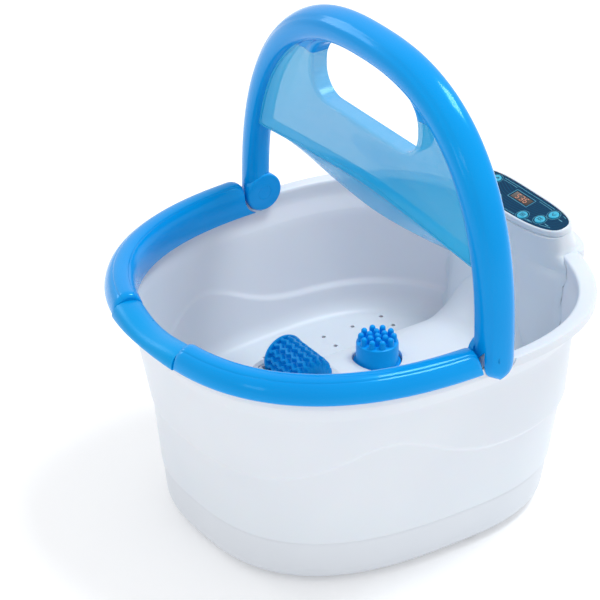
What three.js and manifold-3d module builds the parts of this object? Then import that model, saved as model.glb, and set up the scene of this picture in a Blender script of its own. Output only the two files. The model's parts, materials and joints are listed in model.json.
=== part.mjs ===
// A foot spa basin: a moulded tub with a massage ridge, a rim trim, a control tower
// and a carry handle with a splash guard that folds back over the tower.
// Millimetres, +Z up. X runs across, -Y is the user's side, +Y is the control tower.
// Shapes are laid out about the handle's hinge plane (y = 0) and the finished group is
// moved along Y so that the origin lies under the middle of the bounding box.

import * as THREE from 'three';
import { mergeVertices } from 'three/addons/utils/BufferGeometryUtils.js';
import Module from 'manifold-3d';

const wasm = await Module();
wasm.setup();

// ---------------------------------------------------------------- driving dimensions

const GAP = 0.3;                 // clearance left between touching pieces
const SIDES = 48;                // facets round the tub
const WALL = 3.2;

// plan outlines: half width, reach to the front, reach to the rear, squareness of each half
const FOOT_PLAN = { a: 138, front: 182, rear: 150, nFront: 2.7, nRear: 2.6 };
const RIM_PLAN = { a: 181, front: 221, rear: 176, nFront: 2.46, nRear: 2.62 };
const LIP_PLAN = { a: 190, front: 230, rear: 190, nFront: 2.46, nRear: 2.65 };
const RING_PLAN = { a: 185, front: 225, rear: 225, nFront: 2.46, nRear: 2.46 };

const PARTING_Z = 48;            // the base tray ends and the tub begins
const FLOOR_Z = 86;
const FLOOR_UNDER_Z = FLOOR_Z - WALL;
const NECK_Z = 190;
const LIP_UNDER_Z = 206;
const LIP_SKIRT_Z = 211.4;
const LIP_TOP_Z = 221;

// the wall leans outwards: share of the way from FOOT_PLAN to RIM_PLAN
const LEAN = { footFront: 0.135, perMmFront: 0.0025, footRear: 0.18, perMmRear: 0.004 };
const STEP = { front: 0.055, rear: 0.11, ramp: 8 };
const NECK_SHARE = 0.84;
const WAVE = { low: 112, rise: 38, crestY: -85, spread: 62 };

const RIDGE = { halfWidth: 64, top: 131, base: 84.4, front: -150, shoulder: -95, rear: 150 };
const RIDGE_FILLET = { start: 100, bend: 40 };

const ROLLER = { y: -77, z: 149, radius: 21, body: 18.6, halfLength: 27, flange: 2.5 };
const CRADLE = { halfX: 33.4, halfY: 24, floor: 124, wall: 2.4, top: 141.6 };
const HEAD = { y: 10, radius: 19.8, base: 123.5, top: 148, pinTop: 156, recess: 23.4 };
const HEAD_RECESS_Z = 121.7;

const HINGE_Z = 230;
const ARCH = { inPlane: 14, across: 16, skew: 4, steps: 32, facets: 12 };
const BOSS_R = 20.3;
const CHEEK = { innerFace: 170.6, innerBack: 177, outerBack: 189.4, outerFace: 199, heel: 15.2 };
const EAR = { x0: 180.2, x1: 186.6, radius: 12 };
const PIN_R = 4;

const GUARD = {
  front: -10, rear: 8, skin: 3, overlap: 4, startTurn: 0.41, lowMid: 315, lowSide: 306, top: 415,
};
const FLAP = { front: 4.6, rear: 7.4, lowMid: 286, reach: 158 };
const GRIP = { halfX: 80, low: 375, spring: 402, high: 441.5, corner: 25 };

const PANEL = { y: 169.5, z: 246, tilt: THREE.MathUtils.degToRad(12) };
const HEAD_PLAN = { a: 68.6, front: 20.6, rear: 20.4, nFront: 2.2, nRear: 4.5 };
const FASCIA_PLAN = { a: 66, front: 18, rear: 17.6, nFront: 2.2, nRear: 5 };
const CAP_THICK = 6;
const BUTTON_R = 5.2;
const BUTTON_SPOTS = [[21, -11.5], [39, -5], [43.5, 8]];
const WINDOW = { x: 0, y: 4.5, halfX: 12.7, halfY: 4.9 };

const SADDLE = { middle: 267, half: 12.5, dip: 4 };
const SADDLE_REACH = 15.4;
const TOWER_REACH = 207.5;

const FEET = [[-95, -110], [95, -110], [-95, 95], [95, 95]];
const FOOT_R = 11;
const SCREWS = [[-70, -140], [70, -140], [-131, 20], [131, 20], [-70, 125], [70, 125]];
const BUBBLE_ROWS = [98, 118];
const BUBBLE_YS = [-70, -36, -2, 32, 66, 100];

// the middle of the bounding box along Y comes to the origin
const CENTRE_SHIFT = (RING_PLAN.front + SADDLE_REACH - TOWER_REACH) / 2;

// ---------------------------------------------------------------- materials

function finish(color, roughness, metalness = 0) {
  return { color, roughness, metalness };
}

const FINISHES = {
  white: finish(0xd9dde4, 0.42),
  tray: finish(0xd3d7de, 0.45),
  blue: finish(0x0b8be6, 0.16),
  blueGrip: finish(0x0a7fdc, 0.24),
  guard: finish(0x7db9e8, 0.12),
  softBlue: finish(0x148ce1, 0.38),
  panel: finish(0x05304c, 0.2),
  lens: finish(0x1a0d0b, 0.08),
  key: finish(0x36b2d6, 0.35),
  rubber: finish(0x4a4f55, 0.8),
  steel: finish(0xb9bdc2, 0.3, 1),
  brass: finish(0xc8a560, 0.35, 1),
  board: finish(0x1f6b3a, 0.5),
  dark: finish(0x24272b, 0.5),
  nylon: finish(0xe9e6dc, 0.5),
  hose: finish(0xc9d2d6, 0.35),
};

function makeMaterial(key) {
  const material = new THREE.MeshStandardMaterial(FINISHES[key]);
  if (key === 'guard') {
    material.transparent = true;
    material.opacity = 0.8;
  }
  return material;
}

// ---------------------------------------------------------------- solids

function mix(from, to, share) {
  return from + (to - from) * share;
}

function toSolid(geometry) {
  const bare = geometry.clone();
  bare.deleteAttribute('normal');
  bare.deleteAttribute('uv');
  const merged = mergeVertices(bare, 1e-4);
  return new wasm.Manifold(new wasm.Mesh({
    numProp: 3,
    vertProperties: Float32Array.from(merged.attributes.position.array),
    triVerts: Uint32Array.from(merged.index.array),
  }));
}

function toGeometry(solid) {
  const mesh = solid.getMesh();
  const geometry = new THREE.BufferGeometry();
  const positions = Float32Array.from(mesh.vertProperties);
  geometry.setAttribute('position', new THREE.BufferAttribute(positions, 3));
  geometry.setIndex(new THREE.BufferAttribute(Uint32Array.from(mesh.triVerts), 1));
  geometry.computeVertexNormals();
  return geometry;
}

function piece(name, finishKey, solid) {
  const mesh = new THREE.Mesh(toGeometry(solid), makeMaterial(finishKey));
  mesh.name = name;
  return mesh;
}

function join(solids) {
  return solids.reduce((whole, next) => whole.add(next));
}

function box(x0, x1, y0, y1, z0, z1) {
  const geometry = new THREE.BoxGeometry(x1 - x0, y1 - y0, z1 - z0);
  geometry.translate((x0 + x1) / 2, (y0 + y1) / 2, (z0 + z1) / 2);
  return toSolid(geometry);
}

function rodZ(x, y, z0, z1, radius, facets = 12, topRadius = radius) {
  const geometry = new THREE.CylinderGeometry(topRadius, radius, z1 - z0, facets);
  geometry.rotateX(Math.PI / 2);
  geometry.translate(x, y, (z0 + z1) / 2);
  return toSolid(geometry);
}

function rodX(x0, x1, y, z, radius, facets = 12) {
  const geometry = new THREE.CylinderGeometry(radius, radius, Math.abs(x1 - x0), facets);
  geometry.rotateZ(Math.PI / 2);
  geometry.translate((x0 + x1) / 2, y, z);
  return toSolid(geometry);
}

function rodY(x, y0, y1, z, radius, facets = 12) {
  const geometry = new THREE.CylinderGeometry(radius, radius, y1 - y0, facets);
  geometry.translate(x, (y0 + y1) / 2, z);
  return toSolid(geometry);
}

function signedVolume(points, faces) {
  let total = 0;
  for (const [i, j, k] of faces) {
    const [a, b, c] = [points[i], points[j], points[k]];
    total += a[0] * (b[1] * c[2] - b[2] * c[1]);
    total += a[1] * (b[2] * c[0] - b[0] * c[2]);
    total += a[2] * (b[0] * c[1] - b[1] * c[0]);
  }
  return total;
}

// skins a stack of rings with equal point counts; `flat` gives a ring's own 2D outline
function loft(rings, flat = (ring) => ring.map(([x, y]) => new THREE.Vector2(x, y))) {
  const count = rings[0].length;
  const points = rings.flat();
  let faces = [];
  for (let r = 0; r + 1 < rings.length; r += 1) {
    for (let i = 0; i < count; i += 1) {
      const j = (i + 1) % count;
      const low = r * count;
      const high = low + count;
      faces.push([low + i, low + j, high + j], [low + i, high + j, high + i]);
    }
  }
  const top = (rings.length - 1) * count;
  for (const [a, b, c] of THREE.ShapeUtils.triangulateShape(flat(rings[0]), [])) {
    faces.push([c, b, a]);
  }
  for (const [a, b, c] of THREE.ShapeUtils.triangulateShape(flat(rings.at(-1)), [])) {
    faces.push([top + a, top + b, top + c]);
  }
  if (signedVolume(points, faces) < 0) {
    faces = faces.map(([a, b, c]) => [a, c, b]);
  }
  return new wasm.Manifold(new wasm.Mesh({
    numProp: 3,
    vertProperties: Float32Array.from(points.flat()),
    triVerts: Uint32Array.from(faces.flat()),
  }));
}

// ---------------------------------------------------------------- outlines

// a point of a super-ellipse whose front and rear halves differ, by polar angle
function planPoint(angle, plan, grow = 0) {
  const c = Math.cos(angle);
  const s = Math.sin(angle);
  const reach = (s < 0 ? plan.front : plan.rear) + grow;
  const n = s < 0 ? plan.nFront : plan.nRear;
  const radius = (Math.abs(c / (plan.a + grow)) ** n + Math.abs(s / reach) ** n) ** (-1 / n);
  return [radius * c, radius * s];
}

function mixPlans(from, to, share) {
  return {
    a: mix(from.a, to.a, share),
    front: mix(from.front, to.front, share),
    rear: mix(from.rear, to.rear, share),
    nFront: mix(from.nFront, to.nFront, share),
    nRear: mix(from.nRear, to.nRear, share),
  };
}

function roundAngles(count) {
  return Array.from({ length: count }, (_, i) => ((i + 0.5) / count) * Math.PI * 2);
}

function planRing(plan, z, { grow = 0, y = 0, count = SIDES } = {}) {
  return roundAngles(count).map((angle) => {
    const [px, py] = planPoint(angle, plan, grow);
    return [px, py + y, z];
  });
}

function rearness(angle) {
  return (1 + Math.sin(angle)) / 2;
}

function waveHeight(angle) {
  const y = planPoint(angle, mixPlans(FOOT_PLAN, RIM_PLAN, 0.5))[1];
  return WAVE.low + WAVE.rise * Math.exp(-(((y - WAVE.crestY) / WAVE.spread) ** 2));
}

function lowerShare(angle, z) {
  const front = LEAN.footFront + LEAN.perMmFront * z;
  const rear = LEAN.footRear + LEAN.perMmRear * z;
  return mix(front, rear, rearness(angle));
}

function wallShare(angle, z) {
  const crest = waveHeight(angle);
  if (z <= crest) {
    return lowerShare(angle, z);
  }
  const foot = lowerShare(angle, crest);
  const shelf = foot + mix(STEP.front, STEP.rear, rearness(angle));
  const start = crest + STEP.ramp;
  if (z <= start) {
    return mix(foot, shelf, (z - crest) / STEP.ramp);
  }
  if (z <= NECK_Z) {
    return mix(shelf, NECK_SHARE, (z - start) / (NECK_Z - start));
  }
  return mix(NECK_SHARE, 1, Math.min(1, (z - NECK_Z) / (LIP_UNDER_Z - NECK_Z)));
}

function wallRing(height, grow = 0) {
  return roundAngles(SIDES).map((angle) => {
    const z = typeof height === 'function' ? height(angle) : height;
    const plan = mixPlans(FOOT_PLAN, RIM_PLAN, wallShare(angle, z));
    const [x, y] = planPoint(angle, plan, grow);
    return [x, y, z];
  });
}

// heights that follow the wave: just under it, just over it, and half way to the neck
const WAVE_LEVELS = [
  (angle) => waveHeight(angle),
  (angle) => waveHeight(angle) + STEP.ramp,
  (angle) => (waveHeight(angle) + STEP.ramp + NECK_Z) / 2,
];

// ---------------------------------------------------------------- tub

function tubShell() {
  const skirtIn = -2.6;
  const edge = -1.6;
  const outer = loft([
    ...[PARTING_Z + GAP, 85, ...WAVE_LEVELS, NECK_Z, LIP_UNDER_Z].map((z) => wallRing(z)),
    planRing(RIM_PLAN, LIP_TOP_Z - WALL),
    planRing(LIP_PLAN, LIP_TOP_Z - WALL, { grow: skirtIn }),
    planRing(LIP_PLAN, LIP_SKIRT_Z, { grow: skirtIn }),
    planRing(LIP_PLAN, LIP_SKIRT_Z),
    planRing(LIP_PLAN, LIP_TOP_Z - 2),
    planRing(LIP_PLAN, LIP_TOP_Z, { grow: edge }),
  ]);
  const cavity = loft([
    wallRing(FLOOR_Z, -15),
    wallRing(FLOOR_Z + 4, -8),
    ...[FLOOR_Z + 13, ...WAVE_LEVELS, NECK_Z, LIP_UNDER_Z].map((z) => wallRing(z, -WALL)),
    planRing(RIM_PLAN, LIP_TOP_Z + 5, { grow: -WALL }),
  ]);
  return outer.subtract(cavity);
}

function underHollow() {
  return loft([PARTING_Z - 8, FLOOR_UNDER_Z].map((z) => wallRing(z, -WALL)));
}

function ridgeSection(y, thin) {
  const { halfWidth, top, base, front, shoulder } = RIDGE;
  const run = Math.max(0, (shoulder - y) / (shoulder - front));
  const round = Math.sqrt(Math.max(0, 1 - run ** 2));
  const rise = y > RIDGE_FILLET.start ? (y - RIDGE_FILLET.start) ** 2 / RIDGE_FILLET.bend : 0;
  const height = (top + rise - base - thin) * Math.max(round, 0.05);
  const width = (halfWidth - thin) * Math.max(Math.sqrt(round), 0.3);
  const arc = Array.from({ length: 13 }, (_, i) => {
    const turn = (i / 12) * Math.PI;
    return [width * Math.cos(turn), y, base + height * Math.sin(turn)];
  });
  const foot = base - (thin ? 4 : 0.6);
  return [[width, y, foot], ...arc, [-width, y, foot]];
}

function ridgeSolid(thin) {
  const first = RIDGE.front + thin + 1;
  const stations = [first, -144, -134, -118, RIDGE.shoulder, -40, 30, 100, 115, 130, RIDGE.rear];
  const flat = (ring) => ring.map(([x, , z]) => new THREE.Vector2(x, z));
  return loft(stations.map((y) => ridgeSection(y, thin)), flat);
}

function rollerMound() {
  const plan = (a, b) => ({ a, front: b, rear: b, nFront: 3.6, nRear: 3.6 });
  return loft([
    planRing(plan(52, 46), 106, { y: ROLLER.y, count: 24 }),
    planRing(plan(44, 35), 137, { y: ROLLER.y, count: 24 }),
    planRing(plan(40, 31), 142, { y: ROLLER.y, count: 24 }),
  ]);
}

function cradleRecess(grow) {
  const halfX = CRADLE.halfX + GAP + grow;
  const halfY = CRADLE.halfY + GAP + grow;
  return box(-halfX, halfX, ROLLER.y - halfY, ROLLER.y + halfY, CRADLE.floor - GAP - grow, 170);
}

function headRecess(grow) {
  return rodZ(0, HEAD.y, HEAD_RECESS_Z - grow, 170, HEAD.recess + grow, 24);
}

// the tower's column, level by level: height, middle, half width, reach front and rear
const COLUMN = [
  [PARTING_Z + GAP, 132, 56, 20, 27],
  [85, 150, 70, 26, 19],
  [120, 155, 75, 24, 27],
  [160, 160, 75, 21, 34],
  [205, 167, 73, 19, 35],
];
const COLUMN_LIP = [
  [LIP_SKIRT_Z, 169.5, 78, 20.6, TOWER_REACH - 169.5],
  [LIP_TOP_Z - 1.5, 169.5, 78, 20.4, TOWER_REACH - 169.5],
  [LIP_TOP_Z, 169.5, 76.5, 20.3, TOWER_REACH - 171],
];
const COLUMN_HEAD = [
  [LIP_TOP_Z + 0.8, 169.5, 70.4, 20.3, 32],
  [232, 169.5, 69, 20.3, 27],
  [262, 169.5, 68.6, 20.3, 18],
];

function columnRing([z, y, a, front, rear], grow) {
  return planRing({ a, front, rear, nFront: 2.5, nRear: 3 }, z, { grow, y, count: 24 });
}

function tilted(solid) {
  const degrees = THREE.MathUtils.radToDeg(PANEL.tilt);
  return solid.rotate([degrees, 0, 0]).translate([0, PANEL.y, PANEL.z]);
}

function columnSolid() {
  const whole = loft([...COLUMN, ...COLUMN_LIP, ...COLUMN_HEAD].map((row) => columnRing(row, 0)));
  return whole.subtract(tilted(box(-120, 120, -90, 90, -CAP_THICK - GAP, 80)));
}

function columnHollow() {
  const rows = [[PARTING_Z - 2, 132, 56, 20, 27], ...COLUMN.slice(1), ...COLUMN_HEAD];
  return loft(rows.map((row) => columnRing(row, -WALL)));
}

function bubbleHoles() {
  const spots = [-1, 1].flatMap((side) => BUBBLE_ROWS.map((x) => side * x));
  const holes = spots.flatMap((x) => BUBBLE_YS.map((y) => rodZ(x, y, 76, 90, 1.7, 5)));
  return join(holes);
}

function screwPillars() {
  const pillars = SCREWS.map(([x, y]) => rodZ(x, y, 10 + GAP, FLOOR_Z - 1, 5, 8));
  return join(pillars);
}

function screwBores(radius, z0, z1) {
  return join(SCREWS.map(([x, y]) => rodZ(x, y, z0, z1, radius, 8)));
}

function hingeEar(side) {
  const [x0, x1] = side > 0 ? [EAR.x0, EAR.x1] : [-EAR.x1, -EAR.x0];
  const disc = rodX(x0, x1, 0, HINGE_Z, EAR.radius, 16);
  return disc.add(box(x0, x1, -EAR.radius, EAR.radius, LIP_TOP_Z - 2, HINGE_Z));
}

function makeTub() {
  const hollows = ridgeSolid(WALL)
    .add(rollerMoundHollow())
    .subtract(cradleRecess(WALL))
    .subtract(headRecess(WALL));
  let tub = join([tubShell(), ridgeSolid(0), rollerMound(), columnSolid()]);
  tub = tub.subtract(underHollow()).subtract(columnHollow()).subtract(hollows);
  tub = tub.subtract(cradleRecess(0)).subtract(headRecess(0));
  tub = join([tub, rodZ(0, HEAD.y, HEAD_RECESS_Z - 1, 134, 9), screwPillars()]);
  tub = tub.subtract(bubbleHoles()).subtract(screwBores(1.95, 0, 30));
  tub = join([tub, hingeEar(-1), hingeEar(1)]);
  for (const side of [-1, 1]) {
    tub = tub.subtract(rodX(side * 170, side * 200, 0, HINGE_Z, 7.4, 16));
    tub = tub.subtract(rodX(side * 188.8, side * 200, 0, HINGE_Z, 24, 16));
  }
  return tub;
}

function rollerMoundHollow() {
  const halfX = 40 - WALL;
  const halfY = 31 - WALL;
  return box(-halfX, halfX, ROLLER.y - halfY, ROLLER.y + halfY, 100, 142 - WALL);
}

// ---------------------------------------------------------------- base tray and feet

function makeTray() {
  const inset = -1;
  const outer = loft([
    wallRing(3, -11),
    wallRing(4.5, -6.5),
    wallRing(8, -2.8),
    wallRing(14, inset),
    wallRing(PARTING_Z, inset),
  ]);
  const inside = loft([
    wallRing(6.2, -15),
    wallRing(12, -7),
    wallRing(18, inset - WALL),
    wallRing(PARTING_Z + 5, inset - WALL),
  ]);
  let tray = outer.subtract(inside);
  const pads = SCREWS.map(([x, y]) => rodZ(x, y, 4, 10, 7.5, 8));
  const posts = [[55, -55], [105, -55], [55, 15], [105, 15]];
  const standoffs = posts.map(([x, y]) => rodZ(x, y, 4, 13.7, 3, 6));
  const pumpBed = box(-100, -62, -46, -4, 4, 9.7);
  tray = join([tray, ...pads, ...standoffs, pumpBed]);
  tray = tray.subtract(screwBores(2.1, 0, 12)).subtract(screwBores(4.2, 0, 7));
  for (const [x, y] of FEET) {
    tray = tray.subtract(rodZ(x, y, 0, 4.2, FOOT_R + GAP, 16));
  }
  for (const x of [-100, -88, -76, -64]) {
    tray = tray.subtract(box(x - 2, x + 2, 36, 68, 0, 12));
  }
  return tray.subtract(rodY(0, 140, 170, 26, 7, 16));
}

function makeFoot(x, y) {
  return rodZ(x, y, 0, 3.9, FOOT_R, 16);
}

function makeScrew(x, y) {
  return rodZ(x, y, 4.3, 6.7, 3.8, 8).add(rodZ(x, y, 6, 26, 1.6, 6));
}

function makeGland() {
  const rim = rodY(0, 158.2, 160.6, 26, 9.5, 16);
  const body = rodY(0, 148, 159, 26, 6.6, 16);
  return rim.add(body).subtract(rodY(0, 140, 170, 26, 3.6, 12));
}

// ---------------------------------------------------------------- rim trim

const TRIM_SECTION = [
  [13.4, 222.4], [14, 225.5], [13.5, 230], [12, 234.5], [7.5, 240.5], [1.5, 243], [-5, 242.6],
  [-10.5, 239], [-13.4, 232.5], [-14, 225], [-14, 213], [-12.8, 210], [-9, 210],
  [-8.2, 212], [-8.2, 221.7], [12.2, 221.7],
];
const SADDLE_SECTION = [
  [14.6, 222.2], [SADDLE_REACH, 224], [15, 228.5], [11.5, 233.5], [5.5, 236.6], [0, 237.2],
  [-6, 236.6], [-11, 234], [-13.8, 229.5], [-14.4, 224], [-14.2, 213], [-12.8, 209.6],
  [-9, 209.6], [-8.2, 212], [-8.2, 221.7], [13.2, 221.7],
];

function rimSweep(section, from, to, steps, dip = 0) {
  const rings = Array.from({ length: steps + 1 }, (_, i) => {
    const share = i / steps;
    const angle = THREE.MathUtils.degToRad(mix(from, to, share));
    const sag = dip * Math.sin(Math.PI * share) ** 2;
    return section.map(([grow, z]) => {
      const [x, y] = planPoint(angle, RING_PLAN, grow);
      return [x, y, z > 224 ? z - sag : z];
    });
  });
  const flat = () => section.map(([grow, z]) => new THREE.Vector2(grow, z));
  return loft(rings, flat);
}

function makeTrim(side) {
  const seamLeft = SADDLE.middle - SADDLE.half - 0.08;
  const seamRight = SADDLE.middle + SADDLE.half + 0.08;
  const [from, to] = side < 0 ? [181, seamLeft] : [seamRight, 359];
  const swept = rimSweep(TRIM_SECTION, from, to, 14);
  return swept.subtract(rodX(side * 160, side * 210, 0, HINGE_Z, BOSS_R + 1.4, 24));
}

function makeSaddle() {
  const from = SADDLE.middle - SADDLE.half;
  const to = SADDLE.middle + SADDLE.half;
  return rimSweep(SADDLE_SECTION, from, to, 8, SADDLE.dip);
}

// ---------------------------------------------------------------- handle

function archPoint(angle, grow, y) {
  const [x, rise] = planPoint(angle, RING_PLAN, grow);
  return [x, y, HINGE_Z + rise];
}

function archSweep() {
  const turns = Array.from({ length: ARCH.facets }, (_, i) => (i / ARCH.facets) * Math.PI * 2);
  const section = turns.map((turn) => [
    ARCH.inPlane * Math.cos(turn) + ARCH.skew * Math.sin(turn),
    ARCH.across * Math.sin(turn),
  ]);
  const rings = Array.from({ length: ARCH.steps + 1 }, (_, i) => {
    const angle = 0.0005 + (i / ARCH.steps) * (Math.PI - 0.001);
    return section.map(([grow, y]) => archPoint(angle, grow, y));
  });
  return loft(rings, () => section.map(([grow, y]) => new THREE.Vector2(grow, y)));
}

// the grip opening: round lower corners, and a top that follows the arch
function gripOutline(grow) {
  const half = GRIP.halfX - grow;
  const corner = GRIP.corner - grow;
  const arc = (side, from) => Array.from({ length: 6 }, (_, i) => {
    const turn = (from + i / 10) * Math.PI;
    const x = side * (half - corner) + corner * Math.cos(turn);
    return new THREE.Vector2(x, GRIP.low + GRIP.corner + corner * Math.sin(turn));
  });
  const plan = { a: half, front: 1, rear: GRIP.high - grow - GRIP.spring, nFront: 2, nRear: 2.6 };
  const crown = Array.from({ length: 19 }, (_, i) => {
    const [x, rise] = planPoint(((i + 0.5) / 19) * Math.PI, plan);
    return new THREE.Vector2(x, GRIP.spring + rise);
  });
  return [...arc(-1, 1), ...arc(1, 1.5), ...crown];
}

function uprightPrism(outline, y0, y1) {
  const shape = new THREE.Shape(outline);
  const geometry = new THREE.ExtrudeGeometry(shape, { depth: y1 - y0, bevelEnabled: false });
  geometry.rotateX(Math.PI / 2);
  geometry.translate(0, y1, 0);
  return toSolid(geometry);
}

// height of an edge that bows between the arch's legs
function bowedEdge(x, middle) {
  return mix(middle, GUARD.lowSide, Math.abs(x / 165) ** 1.6);
}

// what fills the arch above the guard's lower edge, less the grip opening
function webSlab(grow) {
  const inward = grow - ARCH.inPlane + GUARD.overlap;
  const start = GUARD.startTurn - grow * 0.008;
  const crown = Array.from({ length: 25 }, (_, i) => {
    const [x, rise] = planPoint(mix(start, Math.PI - start, i / 24), RING_PLAN, inward);
    return new THREE.Vector2(x, HINGE_Z + rise);
  });
  const reach = crown[0].x;
  const edge = Array.from({ length: 11 }, (_, i) => {
    const x = mix(-reach, reach, (i + 1) / 12);
    return new THREE.Vector2(x, bowedEdge(x, GUARD.lowMid) - grow);
  });
  const slab = uprightPrism([...crown, ...edge], GUARD.front - grow, GUARD.rear + grow);
  return slab.subtract(uprightPrism(gripOutline(grow), -40, 40));
}

// the tub's rim as the folded handle meets it, turned into the upright handle's frame
function rimEnvelope() {
  const clearance = 1.5;
  const top = LIP_TOP_Z + 1.3;
  const past = 0.01;
  const rear = Array.from({ length: 33 }, (_, i) => {
    const angle = mix(-past, Math.PI + past, i / 32);
    return planPoint(angle, LIP_PLAN, clearance);
  });
  const ring = (z) => rear.map(([x, y]) => [x, y, z]);
  const keep = [-1, 1].flatMap((side) => [
    rodX(side * 150, side * CHEEK.innerBack, 0, 0, BOSS_R + 2.5, 24),
    rodX(side * CHEEK.outerBack, side * 205, 0, 0, BOSS_R + 2.5, 24),
  ]);
  const slab = loft([ring(150 - HINGE_Z), ring(top - HINGE_Z)]).subtract(join(keep));
  return slab.rotate([90, 0, 0]).translate([0, 0, HINGE_Z]);
}

function hingeSlot(side) {
  const x0 = side * CHEEK.innerBack;
  const x1 = side * CHEEK.outerBack;
  const reach = BOSS_R + 6;
  const low = Math.min(x0, x1);
  const high = Math.max(x0, x1);
  const under = box(low, high, -reach, reach, HINGE_Z - reach, HINGE_Z);
  return rodX(x0, x1, 0, HINGE_Z, EAR.radius + 3.6, 24).add(under);
}

function pinBores(side) {
  const shank = rodX(side * 165, side * 197.4, 0, HINGE_Z, PIN_R + GAP + 0.05, 16);
  const head = rodX(side * 165, side * 173.3, 0, HINGE_Z, 7, 16);
  return shank.add(head);
}

// the leg's back edge runs straight down past the hinge on its outer side
function heelTrim(side) {
  const [x0, x1] = [side * CHEEK.outerBack, side * 205].sort((p, q) => p - q);
  return box(x0, x1, CHEEK.heel, CHEEK.heel + 12, HINGE_Z - 30, HINGE_Z + 16);
}

function makeArch() {
  const bosses = [-1, 1].map((side) =>
    rodX(side * CHEEK.innerFace, side * CHEEK.outerFace, 0, HINGE_Z, BOSS_R, 24));
  const gusset = webSlab(0).intersect(box(-220, 220, -30, 30, GUARD.top + GAP, 470));
  let arch = join([archSweep(), ...bosses]);
  arch = arch.subtract(webSlab(GAP).intersect(box(-220, 220, -30, 30, 200, GUARD.top + GAP)));
  arch = arch.add(gusset);
  for (const side of [-1, 1]) {
    arch = arch.subtract(hingeSlot(side)).subtract(pinBores(side)).subtract(heelTrim(side));
  }
  return arch.subtract(rimEnvelope());
}

// the sheet that hangs below the guard's lower edge at its back
function guardFlap() {
  const across = Array.from({ length: 13 }, (_, i) => mix(-FLAP.reach, FLAP.reach, i / 12));
  const bottom = across.map((x) => new THREE.Vector2(x, bowedEdge(x, FLAP.lowMid)));
  const top = across.map((x) => new THREE.Vector2(x, bowedEdge(x, GUARD.lowMid) + 2));
  return uprightPrism([...bottom, ...top.reverse()], FLAP.front, FLAP.rear);
}

function makeGuard() {
  const below = (top) => box(-220, 220, -30, 30, 200, top);
  const slab = webSlab(0).intersect(below(GUARD.top));
  const pocket = webSlab(-GUARD.skin)
    .intersect(below(GUARD.top - GUARD.skin))
    .intersect(box(-220, 220, GUARD.front + GUARD.skin, 60, 200, 470))
    .translate([0, GUARD.skin + 0.5, 0]);
  return slab.subtract(pocket).add(guardFlap()).subtract(rimEnvelope());
}

function makeHingePin(side) {
  const head = rodX(side * 170.8, side * 173, 0, HINGE_Z, 6.5, 16);
  return head.add(rodX(side * 172, side * 197, 0, HINGE_Z, PIN_R, 16));
}

function makeHingeBush(side) {
  const sleeve = rodX(side * 177.6, side * 188.6, 0, HINGE_Z, 7, 16);
  return sleeve.subtract(rodX(side * 170, side * 195, 0, HINGE_Z, PIN_R + GAP + 0.05, 16));
}

// ---------------------------------------------------------------- control head, in the panel's frame

function panelSlab(plan, z0, z1, grow = 0) {
  return loft([planRing(plan, z0, { grow, count: 28 }), planRing(plan, z1, { grow, count: 28 })]);
}

function buttonSpots() {
  return [-1, 1].flatMap((side) => BUTTON_SPOTS.map(([x, y]) => [side * x, y]));
}

function windowHole(grow, z0, z1) {
  const { x, y, halfX, halfY } = WINDOW;
  return box(x - halfX - grow, x + halfX + grow, y - halfY - grow, y + halfY + grow, z0, z1);
}

function makeControlCap() {
  const plate = loft([
    planRing(HEAD_PLAN, -CAP_THICK, { count: 28 }),
    planRing(HEAD_PLAN, -1.5, { count: 28 }),
    planRing(HEAD_PLAN, 0, { grow: -1.2, count: 28 }),
  ]);
  let cap = plate.subtract(panelSlab(FASCIA_PLAN, -2.4, 5, GAP));
  cap = join([cap, ...[-30, 30].map((x) => rodZ(x, 7, -10.1, -5, 2.6, 8))]);
  for (const [x, y] of buttonSpots()) {
    cap = cap.subtract(rodZ(x, y, -20, 5, BUTTON_R + GAP + 0.1, 12));
  }
  return cap.subtract(windowHole(-0.6, -20, 5));
}

function makeFascia() {
  let sheet = panelSlab(FASCIA_PLAN, -2.1, -0.2);
  for (const [x, y] of buttonSpots()) {
    sheet = sheet.subtract(rodZ(x, y, -5, 5, BUTTON_R + GAP + 0.1, 12));
  }
  return sheet.subtract(windowHole(0, -5, 5));
}

function makeControlBoard() {
  const sheet = box(-45.5, 45.5, -12, 12, -12, -10.4);
  const switches = buttonSpots().map(([x, y]) => rodZ(x, y, -11, -8.3, 2, 6));
  return join([sheet, ...switches]);
}

function controlHead() {
  const head = new THREE.Group();
  head.position.set(0, PANEL.y, PANEL.z);
  head.rotation.x = PANEL.tilt;
  head.add(piece('control_cap', 'white', makeControlCap()));
  head.add(piece('control_fascia', 'panel', makeFascia()));
  head.add(piece('display_lens', 'lens', windowHole(-GAP, -2, -0.3)));
  head.add(piece('display_module', 'dark', windowHole(-0.9, -10, -2.3)));
  head.add(piece('control_board', 'board', makeControlBoard()));
  buttonSpots().forEach(([x, y], i) => {
    head.add(piece(`button_${i + 1}`, 'key', rodZ(x, y, -7.2, 0.7, BUTTON_R, 12)));
  });
  return head;
}

// ---------------------------------------------------------------- massage fittings

function makeCradle() {
  const { halfX, halfY, floor, wall, top } = CRADLE;
  const { y, z } = ROLLER;
  const shell = box(-halfX, halfX, y - halfY, y + halfY, floor, top);
  const inside = box(-halfX + wall, halfX - wall, y - halfY + wall, y + halfY - wall, floor + wall, 160);
  let cradle = shell.subtract(inside);
  for (const side of [-1, 1]) {
    const ear = rodX(side * (halfX - wall), side * halfX, y, z, 7.5, 16);
    const [x0, x1] = side > 0 ? [halfX - wall, halfX] : [-halfX, -halfX + wall];
    cradle = join([cradle, ear, box(x0, x1, y - 7.5, y + 7.5, top - 2, z)]);
  }
  return cradle.subtract(rodX(-60, 60, y, z, 3 + GAP, 12));
}

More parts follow.
